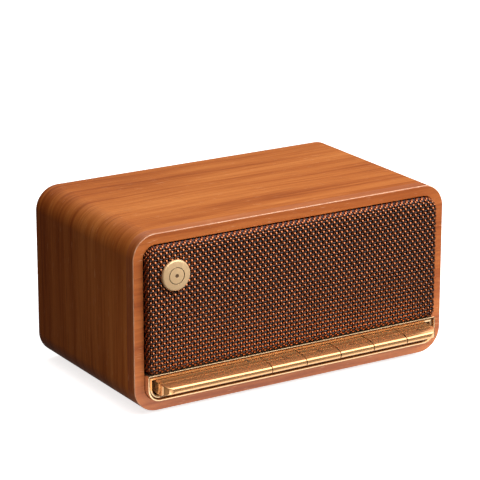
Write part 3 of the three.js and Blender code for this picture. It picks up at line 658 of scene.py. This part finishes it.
def build_badge():
    face = BADGE_LOW[1]
    seat = behind(4.05)
    r = BADGE_RADIUS

    def dome(radius):
        return face + 0.42 * (radius / r) ** 2

    def groove(centre, half=0.17, depth=0.22):
        top = dome(centre)
        side = [(half + 0.05, top), (half, top + 0.06), (half * 0.75, top + depth)]
        return [(centre - a, y) for a, y in side] + [(centre + a, y) for a, y in side[::-1]]

    profile = [(0, face + 0.24), (0.70, face + 0.24), (0.86, face + 0.10)]
    profile += [(0.92, dome(0.92)), (2.2, dome(2.2))] + groove(3.7)
    profile += [(5.4, dome(5.4)), (5.9, dome(5.9))]
    rounding = 0.9
    profile += quarter((r - rounding, dome(r - rounding) + rounding), rounding, -90, 0, 8)
    profile += [(r, seat - 0.1), (r - 0.1, seat), (1.2, seat), (1.2, behind(-0.5)), (0, behind(-0.5))]
    disc = turned(profile, (BADGE_X, 0, BADGE_Z), sides=128)
    item = make("badge_disc", disc, PALE_GOLD, ["badge"])
    item.data.materials.append(BADGE_DARK)
    for polygon in item.data.polygons:
        centre = polygon.center / MM
        radius = math.hypot(centre.x - BADGE_X, centre.z - BADGE_Z)
        if centre.y - dome(radius) > 0.08 and radius < 5.3 and centre.y < seat - 1:
            polygon.material_index = 1


build_badge()


# ---- trim ring

RING_LOW, RING_HIGH = limits("key_trim_ring")
RIM, GROOVE, LEDGE_FALL = 0.74, 0.62, 0.09
RING_WIDTH = 2.25


def build_ring():
    proud = FRONT - RING_LOW[1]
    rear = RING_HIGH[1]

    def ring(inset):
        return outline(RING_LOW[0] + inset, RING_HIGH[0] - inset, RING_LOW[2] + inset, RING_HIGH[2] - inset,
                       6 - inset, max(0.6 - inset, 0.12), steps=20)

    profile = [(0, -1.0)]
    profile += quarter((0.22, proud - 0.22), 0.22, 180, 90, 5)
    profile.append((RIM * 0.5, proud))
    profile += quarter((RIM - 0.16, proud - 0.16), 0.16, 90, 0, 5)
    profile += [(RIM + 0.03, proud - 1.0), (RIM + 0.12, proud - 1.12), (RIM + GROOVE - 0.12, proud - 1.12),
                (RIM + GROOVE, proud - 0.97)]
    profile += quarter((RIM + GROOVE + 0.08, proud - 1.0), 0.08, 135, 95, 2)
    profile += quarter((2.13, proud - 0.92 - LEDGE_FALL - 0.12), 0.12, 80, 0, 3)
    loops = [loop_at(ring(0), rear)]
    loops += [loop_at(ring(inset), behind(p)) for inset, p in profile]
    loops.append(loop_at(ring(RING_WIDTH), rear))
    item = make("trim_ring", loft(loops), GOLD_TRIM, ["key_trim_ring"])
    item.data.materials.append(GOLD_PAINTED_SHADE)
    # Painted shade: the groove's faces, and the inner half of the rim's front face along the upper run,
    # take the dark gold so that they read as dark lines.
    for k, (inset, p) in enumerate(profile):
        groove_shade = p < proud - 0.3 and RIM - 0.05 < inset < RIM + GROOVE - 0.02
        face = RIM * 0.45 < inset < RIM
        for j in range(len(loops[0])):
            polygon = item.data.polygons[(k + 1) * len(loops[0]) + j]
            upper = polygon.center.z / MM > RING_HIGH[2] - RIM - 0.1
            if groove_shade or (face and upper):
                polygon.material_index = 1


build_ring()


# ---- fixed plate and keys

PLATE_LOW, PLATE_HIGH = limits("fixed_plate")
BAR_HALF = -PLATE_LOW[0]
REACH = FRONT - PLATE_LOW[1]
PIVOT_PROUD, PIVOT_Z = -10.0, 14.9
KEY_TOP = PLATE_HIGH[2]
NOSE_RADIUS, NOSE_Z = 1.6, 14.6
END_RADIUS = 4.8
BODY_REAR = 2.6
KEY_FILLET, END_FILLET = 0.16, 0.5
KEY_GAP = 0.35
NOSE_TOP, NOSE_UNDER = 74, 69  # degrees that the nose and the chin turn through
CHIN_RADIUS, NOSE_FLAT = 1.2, 0.4


def side_view():
    """The bar's side view, by depth behind the nose's tip: heights and normals of its top and underside."""
    start = np.array([2.6, KEY_TOP])
    dip = np.array([4.6, KEY_TOP - 0.45])
    crest = np.array([7.4, KEY_TOP + 0.25])
    nose = np.array([REACH - NOSE_RADIUS, NOSE_Z])
    chin = np.array([REACH - CHIN_RADIUS, NOSE_Z - NOSE_FLAT])
    top_end = math.radians(NOSE_TOP)
    end = nose + NOSE_RADIUS * np.array([math.cos(top_end), math.sin(top_end)])
    crown = [(-BODY_REAR, KEY_TOP)]
    for t in np.linspace(0, 1, 40):
        s = 1 - t
        crown.append(tuple(s**3 * start + 3 * t * s * s * dip + 3 * t * t * s * crest + t**3 * end))
    crown += quarter(nose, NOSE_RADIUS, NOSE_TOP, 0, 60)[1:]
    under = quarter(chin, CHIN_RADIUS, 0, -NOSE_UNDER, 60)
    under += [(7.2, 11.7), (3.0, 11.35), (-BODY_REAR, 11.35)]
    crown, under = np.array(crown[::-1]), np.array(under)
    nose_depths = [NOSE_RADIUS * (1 - math.cos(math.radians(a))) for a in np.linspace(0, NOSE_TOP, 17)]
    corner_depths = [END_RADIUS * (1 - math.cos(math.radians(b))) for b in (46, 52, 59, 67, 75, 83, 90)]
    body_depths = [5.4, 6.0, 6.6, 7.2, 7.8, 8.4, 9.0, 9.6, 10.4, 12.2]
    depths = np.array(nose_depths + corner_depths + body_depths + [REACH + BODY_REAR])
    sides = []
    for line in (crown, under):
        heights = np.interp(depths, REACH - line[:, 0], line[:, 1])
        nosed = (NOSE_RADIUS, nose, NOSE_TOP) if line is crown else (CHIN_RADIUS, chin, NOSE_UNDER)
        radius, middle, last = nosed
        run = np.maximum(radius - depths, 0)
        arc_end = radius * (1 - math.cos(math.radians(last)))
        slope = np.gradient(heights, depths)
        normals = np.column_stack([0 * depths, -slope, 0 * depths + 1])
        if line is under:
            normals = -normals
        normals /= np.linalg.norm(normals, axis=1)[:, None]
        on_arc = depths <= arc_end + 1e-9
        rise = np.sqrt(np.maximum(radius**2 - run**2, 0)) * (1 if line is crown else -1)
        arc = np.column_stack([0 * depths, -run, rise]) / radius
        heights[on_arc] = middle[1] + rise[on_arc]
        normals[on_arc] = arc[on_arc]
        sides.append((heights, normals))
    return depths, sides


def section():
    """The side view as one line, from the rear over the top and nose to the rear below."""
    depths, (top, under) = side_view()
    order = np.concatenate([depths[::-1], depths])
    heights = np.concatenate([top[0][::-1], under[0]])
    normals = np.concatenate([top[1][::-1], under[1]])
    return order, heights, normals


def bar_piece(x_from, x_to, round_left=False, round_right=False):
    """A stretch of the bar. A cut end has a small fillet, and a rounded end has an upright wall."""
    depths, heights, normals = section()
    count = len(depths)
    tip = count // 2
    ys = behind(REACH) + depths

    def cut(x, direction):
        made = []
        for step, inset in ((0, KEY_FILLET), (KEY_FILLET * 0.3, KEY_FILLET * 0.3), (KEY_FILLET, 0)):
            line = np.column_stack([np.full(count, x + direction * step), ys, heights]) - normals * inset
            line[[0, -1], 1] = ys[[0, -1]]
            made.append(line)
        return made

    def rounded_end(x, direction):
        back = np.maximum(END_RADIUS - depths, 0)
        side = np.sqrt(END_RADIUS**2 - back**2)
        edge = np.column_stack([x + direction * (END_RADIUS - side), ys, heights])
        wall = np.column_stack([-direction * side, -back, 0 * side]) / END_RADIUS
        both = 1 + (normals * wall).sum(axis=1)
        centre = edge - END_FILLET * (normals + wall) / both[:, None]
        centre[[0, -1], 1] = ys[[0, -1]]
        made = []
        for t in np.linspace(1, 0, 5):
            way = normals * (1 - t) + wall * t
            way /= np.linalg.norm(way, axis=1)[:, None]
            line = centre + END_FILLET * way
            line[[0, -1], 1] = ys[[0, -1]]
            made.append(line)
        return made

    rows = rounded_end(x_from, 1) if round_left else cut(x_from, 1)
    rows += (rounded_end(x_to, -1) if round_right else cut(x_to, -1))[::-1]
    vertices = np.concatenate(rows)
    faces = []
    for i in range(len(rows) - 1):
        for j in range(count - 1):
            faces.append((i * count + j, (i + 1) * count + j, (i + 1) * count + j + 1, i * count + j + 1))
    last = (len(rows) - 1) * count
    for start, rounded in ((0, round_left), (last, round_right)):
        if rounded:
            for j in range(tip - 1):
                k = count - 1 - j
                faces.append((start + j, start + j + 1, start + k - 1, start + k))
        else:
            faces.append([start + j for j in range(count)])
    upper_edge = [i * count for i in range(len(rows))]
    faces.append(upper_edge + [start + count - 1 for start in reversed(upper_edge)])
    return vertices, faces


def arm(x_from, x_to):
    """The hidden rear of a key: the arm, the boss with its bore, and the nib that presses the switch."""
    boss, bore = 2.45, 1.3
    start = -BODY_REAR + 0.5
    side = [(start, KEY_TOP - 0.3), (start, 11.5), (-3.0, 11.5), (-13.1, 10.3)]
    side += [(-14.6, 10.5), (-14.6, 12.7)]
    side += quarter((PIVOT_PROUD, PIVOT_Z), boss, 195, 90, 12)
    hole = quarter((PIVOT_PROUD, PIVOT_Z), bore, 0, 360, 24)[:-1]
    plan = [[Vector((p, z, 0)) for p, z in side], [Vector((p, z, 0)) for p, z in hole]]
    triangles = tessellate_polygon(plan)
    flat = side + hole
    n, m = len(flat), len(side)
    vertices = [(x, behind(p), z) for x in (x_from, x_to) for p, z in flat]
    faces = [tuple(t) for t in triangles] + [tuple(n + i for i in reversed(t)) for t in triangles]
    for i in range(m):
        k = (i + 1) % m
        faces.append((i, k, n + k, n + i))
    for i in range(m, n):
        k = m + (i + 1 - m) % (n - m)
        faces.append((k, i, n + i, n + k))
    return vertices, faces


def top_height(proud):
    """The height of the bar's top at a place in front of the wood."""
    depths, (top, _) = side_view()
    return float(np.interp(REACH - proud, depths, top[0]))


def paint_cut_shade(item):
    """Paints shade on the cut ends, so that the gaps between the keys read as thin dark lines."""
    item.data.materials.append(GOLD_PAINTED_SHADE)
    for polygon in item.data.polygons:
        if abs(polygon.normal.x) > 0.6 and abs(polygon.center.x) < (BAR_HALF - 0.3) * MM:
            polygon.material_index = 1


def build_bar():
    right = limits("key_power")[0][0] - KEY_GAP
    body = bar_piece(-BAR_HALF, right, round_left=True)
    posts = [box(x - 3, x + 3, behind(-4), behind(-9), PLATE_LOW[2], 12) for x in (-64, -44, -26)]
    shapes = [("fixed_plate", "cabinet", joined(body, arm(-68, right - 0.2), *posts))]
    for key in KEYS:
        node = "key_" + key
        low, high = limits(node)
        last = key == KEYS[-1]
        body = bar_piece(low[0], high[0], round_right=last)
        rear = arm(low[0] + 0.2, high[0] - (3.0 if last else 0.2))
        shapes.append((node, node, joined(body, rear)))
    for node, rides, shape in shapes:
        item = make(node + "_gold", shape, GOLD_KEYS, [node], rides)
        paint_cut_shade(item)
        tidy(item)


build_bar()


# ---- symbols on the keys

INK_LIFT = 0.03
STROKE = 0.26


def stroke(points):
    """A flat ribbon along a line of points, as small quads."""
    points = np.array(points, float)
    fine = [points[0]]
    for a, b in zip(points, points[1:]):
        count = max(1, int(np.linalg.norm(b - a) / 0.3))
        fine += [a + (b - a) * (i + 1) / count for i in range(count)]
    fine = np.array(fine)
    tangent = np.gradient(fine, axis=0)
    tangent /= np.maximum(np.linalg.norm(tangent, axis=1), 1e-9)[:, None]
    normal = np.column_stack([-tangent[:, 1], tangent[:, 0]]) * STROKE / 2
    vertices = np.concatenate([fine + normal, fine - normal])
    n = len(fine)
    return vertices, [(i, i + 1, n + i + 1, n + i) for i in range(n - 1)]


SYMBOLS = {
    "power": [quarter((0, 0), 0.95, 125, 415, 24), [(0, 0.25), (0, 1.3)]],
    "input": [[(0.1, 1.05), (1.0, 1.05), (1.0, -1.05), (0.1, -1.05)], [(-1.2, 0), (0.35, 0)],
              [(-0.2, 0.55), (0.4, 0), (-0.2, -0.55)]],
    "play_pause": [[(x, up), (x, -up)] for x, up in (
        (-1.25, 0.8), (-1.0, 0.62), (-0.75, 0.42), (-0.5, 0.2), (0.35, 0.8), (0.95, 0.8))],
    "volume_down": [[(-0.95, 0), (0.95, 0)]],
    "volume_up": [[(-0.95, 0), (0.95, 0)], [(0, -0.95), (0, 0.95)]],
}
SYMBOL_X = 9.0
SYMBOL_PROUD = 7.4
SYMBOL_STRETCH = 1.25


def build_symbols():
    for key, lines in SYMBOLS.items():
        centre = limits("key_" + key)[0][0] + SYMBOL_X
        vertices, faces = [], []
        for line in lines:
            points, quads = stroke(line)
            start = len(vertices)
            for x, up in points:
                proud = SYMBOL_PROUD - up * SYMBOL_STRETCH
                vertices.append((centre + x, behind(proud), top_height(proud) + INK_LIFT))
            faces += [tuple(start + i for i in q) for q in quads]
        make("symbol_" + key, (vertices, [f[::-1] for f in faces]), ICON_INK,
             body="key_" + key)


build_symbols()


def build_light_well():
    """The dark ring that the status light's pipe ends in."""
    x, y, _ = middle_of("status_light_pipe")
    level = top_height(FRONT - y) + INK_LIFT
    profile = [(0.44, level - 0.5), (0.44, level), (0.72, level), (0.86, level - 0.08), (0.86, level - 0.5)]
    profile.append(profile[0])
    ring = turned(profile, (x, y, 0), "z", 48)
    make("status_light_bezel", ring, BADGE_DARK, clean=True)


build_light_well()


# ---- rear panel, guard, radiator and sockets

PANEL_LOW, PANEL_HIGH = limits("rear_panel")
PANEL_BACK = PANEL_HIGH[1]
GUARD_LOW, GUARD_HIGH = limits("radiator_guard")
RADIATOR_X, _, RADIATOR_Z = middle_of("radiator_guard")
PANEL_THICKNESS = 3
RADIATOR_HOLE, SCREW_HOLE, JACK_HOLE, PORT_GAP = 24.3, 1.8, 3.3, 0.3
BAY = {"x0": -62, "x1": -22, "z0": 12, "z1": 26, "depth": 6.5, "wall": 1.5}


def ring_of(x, z, radius, sides=48):
    return quarter((x, z), radius, 0, 360, sides)[:-1]


def sheet(outer, holes, y0, y1, edge=0.0):
    """A flat sheet with holes, from y0 in front to y1 behind, with a small chamfer round its rear edges."""
    lines = [np.array(outer, float)] + [np.array(h, float) for h in holes]
    vertices, faces = [], []
    starts, total = [], 0
    for line in lines:
        starts.append(total)
        total += len(line)

    def level(y, shrink):
        for k, line in enumerate(lines):
            moved = line
            if shrink:
                tangent = np.roll(line, -1, axis=0) - np.roll(line, 1, axis=0)
                tangent /= np.linalg.norm(tangent, axis=1)[:, None]
                ahead = np.roll(line, -1, axis=0)
                area2 = np.sum(line[:, 0] * ahead[:, 1] - ahead[:, 0] * line[:, 1])
                sign = math.copysign(1, area2) * (1 if k == 0 else -1)
                moved = line + sign * shrink * np.column_stack([-tangent[:, 1], tangent[:, 0]])
            for x, z in moved:
                vertices.append((x, y, z))

    level(y0, 0)
    if edge:
        level(y1 - edge, 0)
    level(y1, edge)
    levels = 3 if edge else 2
    flat = [[Vector((x, z, 0)) for x, z in line] for line in lines]
    triangles = tessellate_polygon(flat)
    faces += [tuple(c) for c in triangles]
    faces += [tuple(c + (levels - 1) * total for c in triangle) for triangle in triangles]
    for start, line in zip(starts, lines):
        n = len(line)
        for i in range(n):
            m = (i + 1) % n
            for k in range(levels - 1):
                low, high = k * total + start, (k + 1) * total + start
                faces.append((low + i, low + m, high + m, high + i))
    return vertices, faces


def socket_outline(node, inset=0.0, corner=None):
    low, high = limits(node)
    height = high[2] - low[2] - 2 * inset
    radius = height / 2 - 0.02 if corner is None else corner
    return outline(low[0] + inset, high[0] - inset, low[2] + inset, high[2] - inset, radius, steps=10)


def build_rear_panel():
    plate_front = PANEL_BACK - PANEL_THICKNESS
    corner = CORNER - WALL - 0.3
    outer = outline(PANEL_LOW[0], PANEL_HIGH[0], PANEL_LOW[2], PANEL_HIGH[2], corner, steps=16)
    b = BAY
    bay = outline(b["x0"], b["x1"], b["z0"], b["z1"], 1.0, steps=6)
    holes = [ring_of(RADIATOR_X, RADIATOR_Z, RADIATOR_HOLE, 96), bay]
    for node in SCREWS:
        x, _, z = middle_of(node)
        holes.append(ring_of(x, z, SCREW_HOLE))
    plate = sheet(outer, holes, plate_front, PANEL_BACK, 0.25)
    wall, floor = b["wall"], PANEL_BACK - b["depth"]
    around = outline(b["x0"] - wall, b["x1"] + wall, b["z0"] - wall, b["z1"] + wall, 1.2, steps=6)
    tube = sheet(around, [bay], floor, plate_front + 0.1)
    ports = [socket_outline("charge_port", -PORT_GAP), socket_outline("card_slot", -PORT_GAP, 0.3)]
    x, _, z = middle_of("audio_jack")
    ports.append(ring_of(x, z, JACK_HOLE))
    base = sheet(around, ports, floor - wall, floor)
    shape = joined(plate, tube, base)
    make("rear_panel_moulding", shape, BLACK_PLASTIC, ["rear_panel"], clean=True)


def build_guard():
    slots = []
    spoke = 0.8
    for low, high in ((4, 9), (11, 16), (18, 23)):
        for i in range(6):
            start, end = i * 60, i * 60 + 60
            a_high, a_low = math.degrees(spoke / high), math.degrees(spoke / low)
            outer = quarter((0, 0), high, start + a_high, end - a_high, 16)
            inner = quarter((0, 0), low, end - a_low, start + a_low, 16)
            slots.append([(RADIATOR_X + x, RADIATOR_Z + z) for x, z in outer + inner])
    outer = ring_of(RADIATOR_X, RADIATOR_Z, (GUARD_HIGH[0] - GUARD_LOW[0]) / 2, 128)
    shape = sheet(outer, slots, GUARD_LOW[1], GUARD_HIGH[1], 0.18)
    make("radiator_guard_plate", shape, DARK_METAL, ["radiator_guard"], clean=True)


FLANGE_RADIUS = 18.36
LIP = 0.6  # the thickness of a surround's glued edges


def soft_ring(name, profile, place_at, body, replaces=()):
    """A turned rubber ring. A surround's roll stays, and its flange rides with what it is glued to."""
    make(name, turned(profile + profile[:1], place_at), RUBBER, replaces, body, clean=True)


def build_driver_surround(side):
    node = "driver_surround_" + side
    x, _, z = middle_of(node)
    seat = limits(node)[1][1]
    front = seat - LIP
    roll = quarter((20.1, front), 1.6, 180, 360, 16) + [(22.2, front), (22.2, seat), (21.35, seat)]
    roll += quarter((20.1, seat - 0.3), 1.25, 360, 180, 16) + [(18.5, seat - 0.3)]
    soft_ring(node + "_roll", roll, (x, 0, z), "cabinet", [node])
    flange = [(17.5, front), (FLANGE_RADIUS, front), (FLANGE_RADIUS, seat - 0.1), (17.5, seat - 0.1)]
    soft_ring(node + "_flange", flange, (x, 0, z), "cone_" + side)


def build_radiator():
    front = limits("radiator_surround")[0][1]
    seat = front + LIP
    place_at = (RADIATOR_X, 0, RADIATOR_Z)
    roll = quarter((21.2, front), 2.2, 180, 0, 20) + [(26.5, front), (26.5, seat), (23.9, seat)]
    roll += quarter((21.2, seat), 2.7, 0, 180, 20)
    soft_ring("radiator_surround_roll", roll, place_at, "cabinet", ["radiator_surround"])
    flange = [(17, front), (FLANGE_RADIUS, front), (FLANGE_RADIUS, seat), (17, seat)]
    soft_ring("radiator_surround_flange", flange, place_at, "radiator")
    face = limits("radiator_disc")[1][1]
    disc = [(0, face - 2.5), (9, face - 2.5), (9, face - 1.1), (18.2, face - 1.1), (18.2, face - 0.2)]
    disc += quarter((18.0, face - 0.2), 0.2, 0, 90, 3)
    disc += [(12.3, face), (12.1, face - 0.12), (11.6, face - 0.12), (11.4, face), (0, face)]
    make("radiator_disc_plate", turned(disc, place_at), DARK_METAL, ["radiator_disc"],
         "radiator", clean=True)


def build_screws():
    """Domed heads, each with a cross-shaped recess."""
    half, reach, deep = 0.33, 1.45, 1.0
    arm_end = [(reach, -half), (reach, half), (half, half)]
    cross = []
    for cos, sin in ((1, 0), (0, 1), (-1, 0), (0, -1)):
        cross += [(a * cos - b * sin, a * sin + b * cos) for a, b in arm_end]
    n = len(cross)
    for node in SCREWS:
        low, high = limits(node)
        x, _, z = middle_of(node)
        top, seat = high[1], high[1] - 1.8
        profile = [(1.75, top)]
        for a in np.radians(np.linspace(12, 90, 9)):
            profile.append((1.75 + 1.15 * math.sin(a), top - 1.1 * (1 - math.cos(a))))
        profile += [(2.9, seat), (1.4, seat), (1.4, low[1] + 1), (0, low[1])]
        head = turned(profile, (x, 0, z), sides=48)
        lines = [ring_of(x, z, 1.75), [(x + a, z + b) for a, b in cross]]
        flat = [[Vector((a, b, 0)) for a, b in line] for line in lines]
        face = ([(a, top, b) for line in lines for a, b in line], tessellate_polygon(flat))
        walls = [(x + a, y, z + b) for y in (top, top - deep) for a, b in cross]
        quads = [(i, (i + 1) % n, n + (i + 1) % n, n + i) for i in range(n)] + [tuple(range(n, 2 * n))]
        make(node + "_head", joined(head, face, (walls, quads)), STEEL, [node], clean=True)


def build_charge_port():
    low, high = limits("charge_port")
    x, _, z = middle_of("charge_port")
    rear, inner = high[1], low[1] + 1.3
    shell = sheet(socket_outline("charge_port"), [socket_outline("charge_port", 0.35)], inner, rear, 0.08)
    back = sheet(socket_outline("charge_port"), [], low[1], inner)
    make("charge_port_shell", joined(shell, back), STEEL, ["charge_port"], clean=True)
    tongue = box(x - 3.2, x + 3.2, low[1] + 1, rear - 0.9, z - 0.35, z + 0.35)
    make("charge_port_tongue", tongue, BLACK_PLASTIC, clean=True)


build_rear_panel()
build_guard()
build_radiator()
for side in SIDES:
    build_driver_surround(side)
build_screws()
build_charge_port()


# ---- rubber feet


def build_feet():
    for node in FEET:
        low, high = limits(node)
        x, y, _ = middle_of(node)
        radius, height = (high[0] - low[0]) / 2, high[2]
        profile = [(0, 0.12), (radius * 0.55, 0.12), (radius * 0.6, 0)]
        profile += quarter((radius - 0.5, 0.5), 0.5, -90, 0, 5)
        profile += [(radius - 0.25, height), (0, height)]
        make(node + "_rubber", turned(profile, (x, y, 0), "z", 64), RUBBER, [node], clean=True)


build_feet()


# ---- floor, light and camera

# The studio's brightness by height, and its colour from left to right. Positions run from -1 to 1.
WORLD_HEIGHT = [(-1.0, 0.18), (-0.45, 0.20), (-0.28, 0.20), (-0.10, 0.10),
                (0.40, 0.10), (0.47, 0.45), (0.60, 0.75), (1.0, 0.80)]
WORLD_SIDE = [(-1.0, (0.24, 0.13, 0.09)), (-0.4, (0.24, 0.15, 0.11)),
              (0.2, (0.85, 0.82, 0.80)), (1.0, (1.0, 1.0, 1.0))]
AZIMUTH, ELEVATION = -31.68, 17.33
CAMERA_TARGET, CAMERA_DISTANCE = (0.000206, 0.0060, 0.05651), 1.1171
CAMERA_LENS = 182.3


def area(name, location, target, size, power, glossy=True, only=()):
    """A rectangular lamp in metres and watts. It lights every piece, or only the ones named."""
    lamp = bpy.data.lights.new(name, "AREA")
    lamp.shape = "RECTANGLE"
    lamp.size, lamp.size_y = size
    lamp.energy = power
    item = bpy.data.objects.new(name, lamp)
    item.location = Vector(location)
    item.rotation_euler = (Vector(target) - Vector(location)).to_track_quat("-Z", "Y").to_euler()
    item.visible_glossy = glossy
    bpy.context.scene.collection.objects.link(item)
    if only:
        receivers = bpy.data.collections.new(name + "_receivers")
        for piece in only:
            receivers.objects.link(bpy.data.objects[piece])
        item.light_linking.receiver_collection = receivers


def build_stage():
    mesh = bpy.data.meshes.new("floor")
    reach = 6.0
    corners = [(-reach, -reach, 0), (reach, -reach, 0), (reach, reach, 0), (-reach, reach, 0)]
    mesh.from_pydata(corners, [], [(0, 1, 2, 3)])
    floor = bpy.data.objects.new("floor", mesh)
    bpy.context.scene.collection.objects.link(floor)
    s = Surface("pale_floor", Roughness=0.9, Specular_IOR_Level=0.1, Emission_Strength=0.78)
    s.set("Base Color", s.mix(s.noise(s.place(), 3, 2), (0.90, 0.90, 0.90), (0.94, 0.94, 0.94)))
    s.shader.inputs["Emission Color"].default_value = (1, 1, 1, 1)
    mesh.materials.append(s.material)
    floor.visible_diffuse = False
    floor.visible_glossy = False
    floor.visible_shadow = False


def build_world():
    """The studio as the object sees it: bright overhead, dark at the horizon and warm dark at the left."""
    world = bpy.data.worlds.new("studio")
    bpy.context.scene.world = world
    world.use_nodes = True
    tree = world.node_tree
    background = tree.nodes["Background"]
    split = tree.nodes.new("ShaderNodeSeparateXYZ")
    tree.links.new(tree.nodes.new("ShaderNodeTexCoord").outputs["Generated"], split.inputs[0])

    def graded(axis, stops):
        spread = tree.nodes.new("ShaderNodeMapRange")
        spread.inputs["From Min"].default_value = -1
        tree.links.new(split.outputs[axis], spread.inputs["Value"])
        ramp = tree.nodes.new("ShaderNodeValToRGB")
        tree.links.new(spread.outputs[0], ramp.inputs[0])
        return set_stops(ramp, [((position + 1) / 2, value) for position, value in stops])

    product = tree.nodes.new("ShaderNodeMix")
    product.data_type, product.blend_type = "RGBA", "MULTIPLY"
    product.inputs[0].default_value = 1.0
    tree.links.new(graded("Z", WORLD_HEIGHT), product.inputs[6])
    tree.links.new(graded("X", WORLD_SIDE), product.inputs[7])
    tree.links.new(product.outputs[2], background.inputs["Color"])
    plain = tree.nodes.new("ShaderNodeBackground")
    plain.inputs["Color"].default_value = (1, 1, 1, 1)
    mix = tree.nodes.new("ShaderNodeMixShader")
    tree.links.new(tree.nodes.new("ShaderNodeLightPath").outputs["Is Camera Ray"], mix.inputs[0])
    tree.links.new(background.outputs[0], mix.inputs[1])
    tree.links.new(plain.outputs[0], mix.inputs[2])
    tree.links.new(mix.outputs[0], tree.nodes["World Output"].inputs["Surface"])


def build_lights():
    middle = (0, 0, 0.04)
    area("front_softbox", (0.16, -0.50, 0.67), middle, (1.7, 0.50), 8.0)
    area("overhead_softbox", (0.20, 0.20, 0.95), middle, (1.2, 0.9), 2.6)
    area("side_key", (0.62, -0.70, 0.46), middle, (0.5, 0.4), 5.2, glossy=False)
    area("low_fill", (0.42, -0.90, 0.07), middle, (0.6, 0.12), 1.6, glossy=False)
    gold = ["trim_ring", "fixed_plate_gold"] + ["key_" + key + "_gold" for key in KEYS]
    area("table_glow", (0.02, -0.0645, -0.004), (0.02, -0.0645, 1), (0.44, 0.041), 0.072,
         only=gold + ["front_frame_wood", "cabinet_shell"])
    area("left_glow", (-0.108, -0.055, -0.004), (-0.108, -0.055, 1), (0.07, 0.13), 0.026, only=gold)


def build_camera():
    azimuth, elevation = math.radians(AZIMUTH), math.radians(ELEVATION)
    level = math.cos(elevation)
    back = Vector((math.sin(azimuth) * level, -math.cos(azimuth) * level, math.sin(elevation)))
    camera = bpy.data.cameras.new("camera")
    camera.lens = CAMERA_LENS
    camera.sensor_width = 36
    camera.clip_start, camera.clip_end = 0.05, 50
    item = bpy.data.objects.new("camera", camera)
    item.location = Vector(CAMERA_TARGET) + back * CAMERA_DISTANCE
    item.rotation_mode = "QUATERNION"
    item.rotation_quaternion = (-back).to_track_quat("-Z", "Y")
    bpy.context.scene.collection.objects.link(item)
    bpy.context.scene.camera = item


build_stage()
build_world()
build_lights()
build_camera()
bpy.context.scene.view_settings.view_transform = "Standard"
